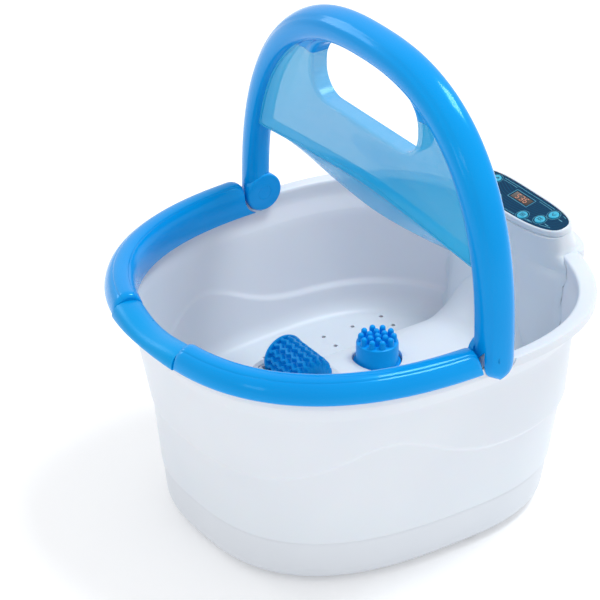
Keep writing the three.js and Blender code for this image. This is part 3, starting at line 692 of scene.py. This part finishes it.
def wall_reach(turn, z):
    """How far out the bowl's outer face lies, in the direction `turn`."""
    return hypot(*plan_point(turn, mix_plans(FOOT_PLAN, RIM_PLAN, wall_share(turn, z))))


def flared(ring):
    """The tower's ring with its flanks swept out along the bowl's wall, on the basin's side."""
    swept = []
    for x, y, z in ring:
        turn = atan2(y, x)
        wall = wall_reach(turn, z)
        gap = wall - WALL - hypot(x, y)
        run = min(1, max(0, 1 - gap / FLARE))
        push = FLARE * (1 - sqrt(1 - run * run)) if gap > 0 else max(0, FLARE * (1 + gap / WALL))
        push *= ease((abs(x) - 50) / 12) * ease((222 - z) / 8)
        turn -= copysign(push / wall, x)
        reach = wall_reach(turn, z) - WALL - gap
        swept.append((reach * cos(turn), reach * sin(turn), z))
    return swept


def head_plane(y):
    return PANEL_Z - 6.3 * cos(PANEL_TILT) + tan(PANEL_TILT) * (y - TOWER_Y - 6.3 * sin(PANEL_TILT))


def head_ring(share, grow=0.0):
    """A ring of the tower's head, from just over the lip to the slanted plane it ends on."""
    rear = mix(31.5, 21, share ** 0.8)
    ring = tower_ring(0, TOWER_Y, mix(70.4, 68.6, share), 20.3, rear, grow)
    return [(x, y, mix(223.5, head_plane(y), share)) for x, y, _ in ring]


def lobe_ring(z, a, front, rear):
    """A ring of the lip's lobe round the tower, which fades out towards the basin."""
    plain = flared(tower_ring(z, TOWER_Y, 71.4, 20.3, min(rear, 34)))
    wide = tower_ring(z, TOWER_Y, a, front, rear)
    ring = []
    for turn, near, far in zip(turns(TOWER_SIDES), plain, wide):
        share = ease((sin(turn) - 0.04) / 0.24)
        ring.append(tuple(mix(p, q, share) for p, q in zip(near, far)))
    return ring


def tower():
    reach = 38
    shaft = []
    for z in spread(22, PARTING_Z, 204):
        smooth = [sum(values) / 5 for values in zip(*(tower_level(z + d) for d in (-8, -4, 0, 4, 8)))]
        shaft.append(flared(tower_ring(z, *smooth)))
    flange = [(73.4, 19.1, 35.2, 207), (74.5, 19.6, 36, 210.6), (76.8, 20.2, 37.4, 211.3),
              (77.8, 20.6, reach, 212), (78, 20.6, reach, 218.8), (77.7, 20.5, reach - 0.3, 220.2),
              (76.5, 20.4, reach - 1.5, 221.15), (73.6, 20.35, 34.6, 221.2), (71.6, 20.3, 32.8, 221.7)]
    lobes = [lobe_ring(z, a, front, rear) for a, front, rear, z in flange]
    head = [head_ring(share) for share in spread(9)]
    inner = [head_ring(share, -WALL) for share in (1, 0.5, 0)]
    lining = [tower_ring(z, *tower_level(z), grow=-WALL) for z in (200, 160, 120, 90, PARTING_Z)]
    return skin([*shaft, *lobes, *head, *inner, *lining], loop=True)


def bubble_drills():
    spots = [(x, y) for x in (-118, -98, 98, 118) for y in (-70, -36, -2, 32, 66, 100)]
    return merged([shifted(rod(2.1, 76, 95, 16), x, y, 0) for x, y in spots])


def hinge_ear(side):
    disc = along_x(turned([(0, 0), (11.2, 0), (12, 0.8), (12, 5.6), (11.2, 6.4), (0, 6.4)], 48),
                   side * 180.2, 0, HINGE_Z, side)
    x0, x1 = sorted((side * 180.2, side * 186.6))
    return [disc, block((x0, -12, LIP_TOP_Z - 4), (x1, 12, HINGE_Z), 0.6)]


def hinge_relief(side):
    return along_x(rod(TOE + 2.6, 0, 12, 64), side * 188.8, 0, HINGE_Z, side)


def make_tub():
    rim_cuts = [hinge_relief(-1), hinge_relief(1), bubble_drills()]
    shells = [carved(bowl(), rim_cuts), ridge(), mound(), tower()]
    well = [(9.5, 120.8), (9.5, 133.2), (8.9, 134), (0, 134), (0, 120.8)]
    shells.append(shifted(turned(list(reversed(well)), 40), 0, HEAD_Y, 0))
    post = [(0, 10.3), (5, 10.3), (5, FLOOR_Z - 1), (0, FLOOR_Z - 1)]
    shells += [shifted(turned(post, 24), x, y, 0) for x, y in SCREWS]
    for side in (-1, 1):
        shells += hinge_ear(side)
    piece("tub", merged(shells), "white")


# ------------------------------------------------------------------ base tray and its fittings


def make_tray():
    outside = [(3, -14), (3.3, -11.6), (4.3, -8.6), (6, -5.6), (8.4, -3.3), (11, -1.9), (14, -1.2),
               (18, -1), (30, -1), (44, -1), (47, -1.1), (48, -1.7)]
    inside = [(48, -3.6), (47, -4.2), (30, -4.2), (18, -4.2), (12, -7), (8, -11), (6.4, -15), (6.2, -22)]
    outer = [wall_ring(z, grow) for z, grow in outside]
    inner = [wall_ring(z, grow) for z, grow in inside]
    centre_top = [(0, 0, 6.2)] * SIDES
    centre_low = [(0, 0, 3)] * SIDES
    sole = [[(x * s, y * s, 3) for x, y, _ in wall_ring(3, -15)] for s in (0.4, 0.8, 0.97)]
    shells = [skin([centre_low, *sole, *outer, *inner, centre_top], caps=False)]
    for x, y in ((55, -55), (105, -55), (55, 15), (105, 15)):
        shells.append(shifted(rod(3, 4, 13.7, 16), x, y, 0))
    shells.append(block((-100, -46, 4), (-62, -4, 9.7), 0.8))
    feet = [shifted(rod(11.3, 0, 4.2, 32), x, y, 0) for x, y in FEET]
    bores = [shifted(rod(4.2, 0, 7, 24), x, y, 0) for x, y in SCREWS]
    shells[0] = carved(shells[0], [merged(feet), merged(bores), vents(), gland_hole()])
    piece("base_tray", merged(shells), "tray")


def vents():
    return merged([block((x - 2, 36, 0), (x + 2, 68, 12), 0.9) for x in (-100, -88, -76, -64)])


def out_of_back(bm, y):
    """Lays a turned piece along +Y at the cord's height, its foot at `y`."""
    return moved(bm, Matrix.Translation((0, y, 26)) @ Matrix.Rotation(-pi / 2, 4, "X"))


def gland_hole():
    hole = rod(7, 0, 30, 40)
    return out_of_back(hole, 140)


def make_feet_and_screws():
    foot = [(0, 0.25), (5, 0.25), (5.4, 0), (9.6, 0), (10.6, 0.5), (11, 1.4), (11, 3.9), (0, 3.9)]
    for number, (x, y) in enumerate(FEET, 1):
        piece(f"foot_{number}", shifted(turned(foot, 40), x, y, 0), "rubber")
    screw = [(0, 5.1), (1.1, 5.1), (1.5, 4.5), (3.2, 4.3), (3.8, 5), (3.8, 6.2), (3.2, 6.7), (1.6, 7)]
    thread = [(1.6 if i % 2 else 1.25, 7.5 + i * 0.8) for i in range(22)]
    for number, (x, y) in enumerate(SCREWS, 1):
        profile = screw + thread + [(0.5, 25.6), (0, 26)]
        piece(f"base_screw_{number}", shifted(turned(profile, 20), x, y, 0), "steel")


def make_gland():
    outline = [(3.6, 0), (6.6, 0), (6.6, 10.2), (9.1, 10.2), (9.5, 10.7), (9.5, 12), (9, 12.5),
               (5.4, 12.6), (4.2, 12.2), (3.6, 11.4)]
    piece("cord_gland", out_of_back(hollow_turned(outline, 48), 148), "rubber")


# ------------------------------------------------------------------ rim trim

SADDLE_SPAN = (254.5, 279.5)
SEAMS = (SADDLE_SPAN[0] - 0.08, SADDLE_SPAN[1] + 0.08)
TRIM_SECTION = [
    (11.6, 221.7), (12.8, 221.9), (13.6, 222.8), (14, 224.6), (13.9, 227), (13.2, 230.4), (11.9, 234),
    (10.2, 236.9), (8.4, 238.8), (6.9, 240), (6.3, 240.2), (5.9, 241), (4.9, 241.8), (2, 242.8),
    (-1, 243.1), (-4, 242.9), (-6, 242.2), (-6.9, 241.6), (-7.2, 240.8), (-7.9, 240.4), (-10.2, 238.3),
    (-12.2, 235.2), (-13.4, 231.6), (-14, 226.5), (-14.2, 221), (-14.1, 214),
    (-13.5, 210.7), (-12.2, 209.9), (-9.8, 209.9), (-8.7, 210.7), (-8.2, 212), (-8.2, 221.7),
]
SADDLE_SECTION = [
    (12.6, 221.7), (13.9, 221.9), (14.9, 222.7), (15.4, 224), (15.3, 226.2), (14.4, 229),
    (12.8, 231.8), (10.2, 234.3), (6.8, 236), (3.2, 236.9), (-0.6, 237.2), (-4.4, 236.9), (-7.8, 236),
    (-10.8, 234), (-12.9, 231.2), (-14, 227.6), (-14.5, 223), (-14.4, 214), (-13.7, 210.4), (-12.3, 209.5),
    (-9.8, 209.5), (-8.7, 210.4), (-8.2, 212), (-8.2, 221.7),
]


def round_over(travel, reach, depth):
    """How far a surface has dropped, `travel` before an end that is rounded over."""
    run = min(1, max(0, 1 - travel / reach))
    return depth * (1 - sqrt(1 - run * run))


def rim_sweep(section, first, last, steps, dip=0.0, ends=()):
    """The section swept round the rim, rounded over at the angles in `ends` and at the hinges."""
    rings = []
    for i in range(steps + 1):
        share = 0.5 - 0.5 * cos(pi * i / steps)
        turn = radians(mix(first, last, share))
        x, y = plan_point(turn, RING_PLAN)
        drop = dip * sin(pi * share) ** 2 + round_over(-20.5 - y, 9, 5)
        for end in ends:
            drop += round_over(abs(turn - radians(end)) * hypot(x, y), 7, 3.4)
        ring = []
        for grow, z in section:
            share_up = max(0, z - 223) / 18
            x, y = plan_point(turn, RING_PLAN, grow - copysign(min(0.3 * drop, 1.4) * share_up, grow))
            ring.append((x, y, z - drop * share_up))
        rings.append(ring)
    return skin(rings)


def make_trims():
    spans = (("rim_trim_left", -1, 181, SEAMS[0]), ("rim_trim_right", 1, SEAMS[1], 359))
    for name, side, first, last in spans:
        swept = rim_sweep(TRIM_SECTION, first, last, 90, ends=SEAMS)
        bite = along_x(rod(TOE + 0.5, 0, 50, 72), side * 160, 0, HINGE_Z, side)
        piece(name, carved(swept, [bite], round_by=0.9, round_past=60), "blue")
    piece("rim_saddle", rim_sweep(SADDLE_SECTION, *SADDLE_SPAN, 40, dip=4.5), "blue_grip")


# ------------------------------------------------------------------ handle

ARCH_SQUARE = 2.2
ARCH_HALF_WIDE = 13.398
ARCH_LEAN = 3.828
ARCH_HALF_DEEP = 15.92
CHEEK_FACE, FORK_IN, FORK_OUT = 170.2, 177, 189.4


def arch_point(angle, grow, y):
    x, rise = plan_point(angle, RING_PLAN, grow)
    return x, y, HINGE_Z + rise


def arch_section():
    """Round, a little squared, with a fine step where the front face meets the outer one."""
    section = []
    for turn in turns(56):
        across, deep = cos(turn), sin(turn)
        size = (abs(across) ** ARCH_SQUARE + abs(deep) ** ARCH_SQUARE) ** (-1 / ARCH_SQUARE)
        step = 0.55 * exp(-(((turn - radians(318)) / radians(5)) ** 2))
        grow = (ARCH_HALF_WIDE * across + ARCH_LEAN * deep) * size
        section.append((grow - step * across, ARCH_HALF_DEEP * deep * size - step * deep))
    return section


def toe_rings(side):
    """Rings down the outer end of a leg, from the hinge's height to its rounded tip."""
    rings = []
    for share in spread(15, 0.06, 0.985):
        run = sin(pi / 2 * share)
        slim = sqrt(1 - run ** 3)
        thin = 1 - 0.3 * run ** 4
        rings.append([(side * (RING_PLAN.a + grow * thin), y * slim, HINGE_Z - TOE * run)
                      for grow, y in arch_section()])
    return rings


def rim_envelope():
    """The room that the tub's rim takes when the handle lies folded back."""
    past = 0.01
    rear = [plan_point(mix(-past, pi + past, i / 96), LIP_PLAN, 1.5) for i in range(97)]
    rings = [[(x, -z, y + HINGE_Z) for x, y in rear] for z in (-80, -7.7)]
    return skin(rings)


def fork_slot(side):
    slot = along_x(rod(15.6, 0, FORK_OUT - FORK_IN, 48), side * FORK_IN, 0, HINGE_Z, side)
    x0, x1 = sorted((side * 165, side * FORK_OUT))
    return [slot, block((x0, -27, HINGE_Z - 27), (x1, 27, HINGE_Z), 0.01, 1)]


def heel_cut(side):
    x0, x1 = sorted((side * FORK_OUT, side * 205))
    return block((x0, 15.2, HINGE_Z - 30), (x1, 30, HINGE_Z + 13), 0.01, 1)


def pin_bore(side):
    return along_x(turned([(0, 0), (7, 0), (7, 8.3), (4.35, 8.3), (4.35, 32.4), (0, 32.4)], 40),
                   side * 165, 0, HINGE_Z, side)


def inner_cheek(side):
    """The disc that closes the fork on the basin's side, its free face rounded."""
    radius, wide, soft = 18.8, FORK_IN - CHEEK_FACE, 1.8
    rounded = [(radius - soft * (1 - cos(t)), soft * (1 - sin(t))) for t in spread(6, pi / 2, 0)]
    profile = [(0, 0), *rounded, (radius, wide), (0, wide)]
    return along_x(turned(profile, 72), side * CHEEK_FACE, 0, HINGE_Z, side)


def make_arch():
    section = arch_section()
    rings = [[arch_point(mix(0.0005, pi - 0.0005, i / 150), grow, y) for grow, y in section]
             for i in range(151)]
    rings = [*reversed(toe_rings(1)), *rings, *toe_rings(-1)]
    slots = [cutter for side in (-1, 1) for cutter in (*fork_slot(side), pin_bore(side), heel_cut(side))]
    shells = [carved(skin(rings), [*slots, rim_envelope()], round_by=0.8, round_past=50)]
    for side in (-1, 1):
        shells.append(carved(inner_cheek(side), [pin_bore(side)]))
    shells.append(split_web(keep_low=False))
    piece("handle_arch", merged(shells), "blue", "handle")


def bowed_edge(x, middle):
    return mix(middle, 306, min(1.2, abs(x) / 165) ** 1.6)


def in_web(x, z):
    rise = z - HINGE_Z
    edge_x, edge_z = plan_point(atan2(rise, x), RING_PLAN, -10)
    return z > bowed_edge(x, 315) and x * x + rise * rise < edge_x * edge_x + edge_z * edge_z


def in_grip(x, z):
    rise = z - GRIP_MIDDLE_Z
    if rise >= 0:
        return (abs(x) / 80) ** 2.6 + (rise / 39.5) ** 2.6 < 1
    corner = 25
    past_x, past_z = max(0, abs(x) - 80 + corner), max(0, -rise - 27 + corner)
    return past_x ** 2 + past_z ** 2 < corner ** 2


def edge_reach(inside, turn):
    """How far the space about the grip's middle goes in one direction."""
    low, high = 0.0, 300.0
    for _ in range(26):
        middle = (low + high) / 2
        if inside(middle * cos(turn), GRIP_MIDDLE_Z + middle * sin(turn)):
            low = middle
        else:
            high = middle
    return low


def web_section(inner, outer):
    """The guard's section from its grip edge to its outer edge: a tray open at the back."""
    room = outer - inner
    lip = min(3.0, room * 0.3)
    near = [(0, 8), (0, -6), (0.1 * lip, -7.8), (0.34 * lip, -9.2), (0.8 * lip, -9.95), (1.6 * lip, -10)]
    fine = min(1.0, room / 40)
    crease = [(11, -10), (10, -9.9), (9.2, -9.25), (8.4, -9.25), (7.6, -9.9), (6.4, -10.1), (4, -9.7),
              (1.8, -8.4), (0.5, -6.2), (0, -3)]
    far = [(room - back * fine, y) for back, y in crease]
    front = [(mix(near[-1][0], far[0][0], t), -10 + 1.6 * sin(pi * t) ** 2) for t in (0.2, 0.4, 0.6, 0.8)]
    behind = [(room, 8), (room - lip, 8), (room - lip, -5.6), (mix(lip, room - lip, 0.5), -5.2), (lip, -5.6),
              (lip, 8)]
    return [(inner + along, y) for along, y in near + front + far + behind]


def web():
    rings = []
    for i in range(288):
        turn = (i + 0.5) / 288 * 2 * pi
        section = web_section(edge_reach(in_grip, turn), edge_reach(in_web, turn))
        rings.append([(r * cos(turn), y, GRIP_MIDDLE_Z + r * sin(turn)) for r, y in section])
    return skin(rings, loop=True)


def split_web(keep_low):
    """The web in the arch, cut where the clear guard ends and the arch's own gusset begins."""
    bm = web()
    level = GUARD_TOP_Z if keep_low else GUARD_TOP_Z + 0.3
    bmesh.ops.bisect_plane(bm, geom=bm.verts[:] + bm.edges[:] + bm.faces[:], dist=0.0001,
                           plane_co=(0, 0, level), plane_no=(0, 0, 1),
                           clear_outer=keep_low, clear_inner=not keep_low)
    bmesh.ops.holes_fill(bm, edges=[edge for edge in bm.edges if edge.is_boundary], sides=0)
    return tidy(bm)


def guard_flap():
    """The thin sheet that sweeps down and back from the guard's lower edge."""
    rings = []
    for x in spread(61, -157, 157):
        top, low = bowed_edge(x, 315), bowed_edge(x, 286)
        drop = top - low
        front = [(mix(-7.5, 5.2, t ** 1.3), top + 1.5 - (drop + 1.5) * t) for t in spread(8)]
        back = [(7.4, low + 0.4)] + [(mix(-3.2, 7.4, t ** 1.3), top + 2 - (drop + 1.6) * t)
                                      for t in (0.86, 0.6, 0.3, 0)]
        rings.append([(x, y, z) for y, z in front + back])
    return skin(rings)


def make_guard():
    body = carved(split_web(keep_low=True), [rim_envelope()])
    piece("splash_guard", merged([body, guard_flap()]), "guard", "handle")


def make_hinges():
    pin = [(0, -0.6), (6.8, -0.6), (6.9, -0.5), (6.9, 2.2), (4, 2.2), (4, 25.6), (3.4, 26.2), (0, 26.2)]
    bush = [(4.35, 0), (6.6, 0), (7, 0.4), (7, 10.6), (6.6, 11), (4.35, 11)]
    for label, side in (("left", -1), ("right", 1)):
        pin_bm = along_x(turned(pin, 40), side * (CHEEK_FACE + 0.6), 0, HINGE_Z, side)
        piece(f"hinge_pin_{label}", pin_bm, "blue", "handle")
        bush_bm = along_x(hollow_turned(bush, 40), side * (FORK_IN + 0.6), 0, HINGE_Z, side)
        piece(f"hinge_bush_{label}", bush_bm, "nylon")


# ------------------------------------------------------------------ control head

HEAD_PLAN = Plan(68.6, 20.6, 20.4, 2.2, 3.3)
FASCIA_PLAN = Plan(66, 18, 17.6, 2.2, 3.4)
WINDOW = (12.7, 4.9, 4.5)
KEY_HOLE_R = 5.6
KEY_CLEAR = 7.2
PRINT_LEVELS = (-0.35, -0.12)


def on_panel(bm):
    return moved(bm, Matrix.Translation((0, TOWER_Y, PANEL_Z)) @ Matrix.Rotation(PANEL_TILT, 4, "X"))


def slab(plan, levels):
    return skin([plan_ring(plan, z, grow, count=120) for grow, z in levels])


def window_block(grow, low, high, soft):
    half_x, half_y, y = WINDOW
    return block((-half_x - grow, y - half_y - grow, low), (half_x + grow, y + half_y + grow, high), soft)


def key_drills(low, high):
    return merged([shifted(rod(KEY_HOLE_R, low, high, 40), x, y, 0) for x, y in BUTTON_SPOTS])


def make_cap_and_fascia():
    levels = [(0, -6), (0, -2.2), (-0.15, -1.3), (-0.6, -0.5), (-1.2, -0.1), (-1.8, 0)]
    well = slab(FASCIA_PLAN, [(0.3, -2.4), (0.3, 6)])
    cap = carved(slab(HEAD_PLAN, levels), [well, key_drills(-20, 5), window_block(-0.6, -20, 5, 0.3)])
    posts = [shifted(rod(2.6, -10.1, -5, 20), x, 7, 0) for x in (-30, 30)]
    piece("control_cap", on_panel(merged([cap, *posts])), "white")
    sheet = slab(FASCIA_PLAN, [(0, -2.1), (0, -0.5), (-0.3, -0.2)])
    sheet = carved(sheet, [key_drills(-5, 5), window_block(0, -5, 5, 0.3)])
    piece("control_fascia", on_panel(sheet), "panel")


def strip(points, width, low, high):
    """A raised printed line through (x, y) points."""
    parts = []
    for (x0, y0), (x1, y1) in zip(points, points[1:]):
        half_x = (hypot(x1 - x0, y1 - y0) + width) / 2
        turn = atan2(y1 - y0, x1 - x0)
        bar = block((-half_x, -width / 2, low), (half_x, width / 2, high), 0.02, 1)
        middle = Matrix.Translation(((x0 + x1) / 2, (y0 + y1) / 2, 0))
        parts.append(moved(bar, middle @ Matrix.Rotation(turn, 4, "Z")))
    return parts


def loop_points(radius, count, first=0.0, last=2 * pi, x=0.0, y=0.0):
    return [(x + radius * cos(t), y + radius * sin(t)) for t in spread(count, first, last)]


def key_icon(number):
    """A plain sign for each key: power, up, bubbles, heat, waves, down."""
    if number == 1:
        return [loop_points(2.2, 14, radians(120), radians(420)), [(0, 0.6), (0, 3)]]
    if number == 2:
        return [[(-2.2, -1), (0, 1.6), (2.2, -1)]]
    if number == 3:
        return [loop_points(1.3, 10, x=-1, y=-0.8), loop_points(0.8, 8, x=1.5, y=1.3)]
    if number == 4:
        return [[(x, -2), (x + 0.8, -0.7), (x, 0.7), (x + 0.8, 2)] for x in (-2, 0, 2)]
    if number == 5:
        return [[(-2.6, y), (-1.3, y + 0.9), (0, y), (1.3, y + 0.9), (2.6, y)] for y in (-1.4, 0.8)]
    return [[(-2.2, 1), (0, -1.6), (2.2, 1)]]


def make_keys():
    cap = [(0, -7.2), (5.2, -7.2), (5.2, 0), (4.9, 0.45), (4.3, 0.65), (3.2, 0.6), (0, 0.45)]
    for number, (x, y) in enumerate(BUTTON_SPOTS, 1):
        body = f"key_{number}"
        button = on_panel(shifted(turned(cap, 40), x, y, 0))
        piece(f"button_{number}", button, "key", body)
        bars = [bar for line in key_icon(number) for bar in strip(line, 0.55, 0.4, 0.72)]
        mark = piece(f"button_mark_{number}", on_panel(shifted(merged(bars), x, y, 0)), "key", body,
                     replaces=[f"button_{number}"], look="key_print")
        mark.name = f"button_mark_{number}"


def digit(segments, x, y):
    """A seven-segment digit from the letters of its lit segments."""
    places = {"a": (0, 3, 0), "g": (0, 0, 0), "d": (0, -3, 0), "f": (-1.6, 1.5, 1), "b": (1.6, 1.5, 1),
              "e": (-1.6, -1.5, 1), "c": (1.6, -1.5, 1)}
    bars = []
    for letter in segments:
        px, py, upright = places[letter]
        half_x, half_y = (0.32, 1.2) if upright else (1.2, 0.32)
        bar = block((px - half_x, py - half_y, -0.5), (px + half_x, py + half_y, -0.2), 0.05, 1)
        bars.append(shifted(bar, x, y, 0))
    return bars


def clear_of_keys(line):
    """The stretches of a printed line that keep off the keys."""
    runs = [[]]
    for x, y in line:
        if min(hypot(x - key_x, y - key_y) for key_x, key_y in BUTTON_SPOTS) > KEY_CLEAR:
            runs[-1].append((x, y))
        elif runs[-1]:
            runs.append([])
    return [run for run in runs if len(run) > 1]


def make_display():
    lens = window_block(-0.3, -2, -0.3, 0.35)
    piece("display_lens", on_panel(lens), "lens")
    middle = WINDOW[2]
    bars = digit("afgcd", -5.5, middle) + digit("abcdg", 0.2, middle) + digit("afgcde", 5.9, middle)
    piece("display_digits", on_panel(merged(bars)), "lens", replaces=["display_lens"], look="digit")
    half_x, half_y, y = WINDOW
    gap = 1.2
    frame_line = [(-half_x - gap, y - half_y - gap), (half_x + gap, y - half_y - gap),
                  (half_x + gap, y + half_y + gap), (-half_x - gap, y + half_y + gap),
                  (-half_x - gap, y - half_y - gap)]
    back_line = [(x, 14.4 - (x / 60) ** 4 * 3) for x in spread(31, -56, 56)]
    lower_line = [(x, 12.2 - (x / 54) ** 4 * 3) for x in spread(25, 17, 50)]
    front_line = [(x, -16.2 + (abs(x) / 62) ** 2.2 * 12) for x in spread(41, -56, 56)]
    lines = [frame_line, back_line, lower_line, [(-x, y) for x, y in lower_line], front_line]
    runs = [run for line in lines for run in clear_of_keys(line)]
    bars = [bar for run in runs for bar in strip(run, 0.5, *PRINT_LEVELS)]
    for x, y in BUTTON_SPOTS:
        ring = loop_points(6.6, 30, x=x, y=y)
        bars += strip(ring, 0.4, *PRINT_LEVELS)
        label = [(x + copysign(reach, x), y - 1.2) for reach in (9, 13.5)]
        bars += strip(label, 0.7, *PRINT_LEVELS)
    piece("panel_print", on_panel(merged(bars)), "panel", replaces=["control_fascia"], look="print")


def make_boards():
    sheet = [block((-45.5, -12, -12), (45.5, 12, -10.4), 0.3, 1)]
    sheet += [shifted(turned([(0, -11), (2, -11), (2, -8.8), (1.6, -8.3), (0, -8.3)], 16), x, y, 0)
              for x, y in BUTTON_SPOTS]
    piece("control_board", on_panel(merged(sheet)), "board")
    piece("display_module", on_panel(window_block(-0.9, -10, -2.3, 0.4)), "dark")
    parts = [block((50, -60, 14), (110, 20, 15.6), 0.3, 1), block((56, -50, 15), (76, -30, 32), 1),
             block((84, -20, 15), (100, 10, 27), 1),
             shifted(turned([(0, 15), (6, 15), (6, 33), (5.4, 34), (0, 34)], 32), 92, -42, 0)]
    piece("main_board", merged(parts), "board")


# ------------------------------------------------------------------ massage fittings


def make_cradle():
    y = ROLLER_Y
    shell = block((-33.4, y - 24, 124), (33.4, y + 24, 141.6), 2.4, 3)
    inside = block((-31, y - 21.6, 126.4), (31, y + 21.6, 170), 1.6, 3)
    axle = along_x(rod(3.3, -60, 60, 24), 0, y, ROLLER_Z)
    shells = [carved(shell, [inside, axle], round_by=0.5)]
    for side in (-1, 1):
        x0, x1 = sorted((side * 31, side * 33.4))
        ear = along_x(turned([(0, 0), (7.1, 0), (7.5, 0.4), (7.5, 2), (7.1, 2.4), (0, 2.4)], 40),
                      side * 31, y, ROLLER_Z, side)
        shells.append(carved(ear, [along_x(rod(3.3, -60, 60, 24), 0, y, ROLLER_Z)]))
        web_plate = block((x0, y - 7.5, 139), (x1, y + 7.5, ROLLER_Z), 0.3, 1)
        shells.append(carved(web_plate, [along_x(rod(3.5, -60, 60, 24), 0, y, ROLLER_Z)]))
    piece("roller_cradle", merged(shells), "white")


ROLLER_HALF = 27
RIBS = 16
RIB_RISE = 3.6
RIB_WAVE = 9.2


def rib(turn, x):
    """Height of the roller's wavy ribs: sixteen round the drum, each running its full length."""
    zigzag = abs(((x + ROLLER_HALF) / RIB_WAVE) % 1 - 0.5) * 2
    phase = (turn / (2 * pi) * RIBS + zigzag * 0.4) % 1
    return RIB_RISE * ease(5.0 * (0.5 - abs(phase - 0.5)) - 0.7)


def make_roller():
    rings = []
    for x in spread(101, -24, 26.8):
        body = 16.9 - round_over(26.9 - x, 9, 5)
        radii = [(turn, body + rib(turn, x)) for turn in turns(288)]
        rings.append([(x, radius * cos(turn), radius * sin(turn)) for turn, radius in radii])
    drum = carved(skin(rings), [along_x(rod(3.4, -60, 60, 24), 0, 0, 0)])
    flange = [(3.4, 0), (20.2, 0), (20.8, 0.3), (21, 0.9), (21, 2.2), (20.7, 2.8), (19.6, 3.3), (3.4, 3.3)]
    shells = [shifted(drum, 0, ROLLER_Y, ROLLER_Z),
              along_x(hollow_turned(flange, 72), -ROLLER_HALF, ROLLER_Y, ROLLER_Z)]
    piece("roller_drum", merged(shells), "soft_blue", "roller")
    axle = [(0, 0), (2.6, 0), (3, 0.4), (3, 65.6), (2.6, 66), (0, 66)]
    piece("roller_axle", along_x(turned(axle, 32), -33, ROLLER_Y, ROLLER_Z), "steel")


def make_head():
    body = [(0, 135), (9.5, 135), (9.5, 123.5), (22.2, 123.5), (22.4, 123.8), (22.4, 125.9), (21.8, 126.5),
            (20.4, 127), (19.8, 128), (19.8, 145.4), (19.4, 147), (18.2, 147.9), (16.4, 148), (0, 148)]
    pin = [(0, 147), (3.3, 147), (3.05, 148.6), (2.95, 152.4)]
    pin += [(2.9 * cos(t), 153.1 + 2.9 * sin(t)) for t in spread(6, 0, pi / 2)]
    shells = [turned(body, 96)]
    for radius, count in ((0, 1), (8, 6), (15.2, 10)):
        for i in range(count):
            turn = (i + 0.5) / count * 2 * pi
            shells.append(shifted(turned(pin, 16), radius * cos(turn), radius * sin(turn), 0))
    piece("massage_head", shifted(merged(shells), 0, HEAD_Y, 0), "soft_blue", "head")
    gasket = [(10.5, 122), (18.5, 122), (18.5, 122.8), (18.1, 123.2), (10.9, 123.2), (10.5, 122.8)]
    piece("head_gasket", shifted(hollow_turned(gasket, 64), 0, HEAD_Y, 0), "rubber")


# ------------------------------------------------------------------ works under the floor


def dress_hidden_works():
    """The pump, motor and other hidden works keep their CAD shape and take a real finish."""
    finishes = {
        "vibration_motor": "steel", "motor_bracket": "dark", "eccentric_weight": "brass",
        "air_pump": "dark", "air_hose_left": "hose", "air_hose_right": "hose",
        "air_manifold_left": "nylon", "air_manifold_right": "nylon",
        "heater_plate": "steel", "thermistor": "nylon",
    }
    for name, key in finishes.items():
        node = frame["nodes"][name]
        node.data.materials.clear()
        node.data.materials.append(MATERIALS[key])


def make_floor():
    bm = bmesh.new()
    bmesh.ops.create_grid(bm, x_segments=1, y_segments=1, size=9)
    floor = mesh_object("studio_floor", bm)
    floor.data.materials.append(MATERIALS["floor"])


make_camera()
make_studio()
make_floor()
make_tub()
make_tray()
make_feet_and_screws()
make_gland()
make_trims()
make_arch()
make_guard()
make_hinges()
make_cap_and_fascia()
make_keys()
make_display()
make_boards()
make_cradle()
make_roller()
make_head()
dress_hidden_works()
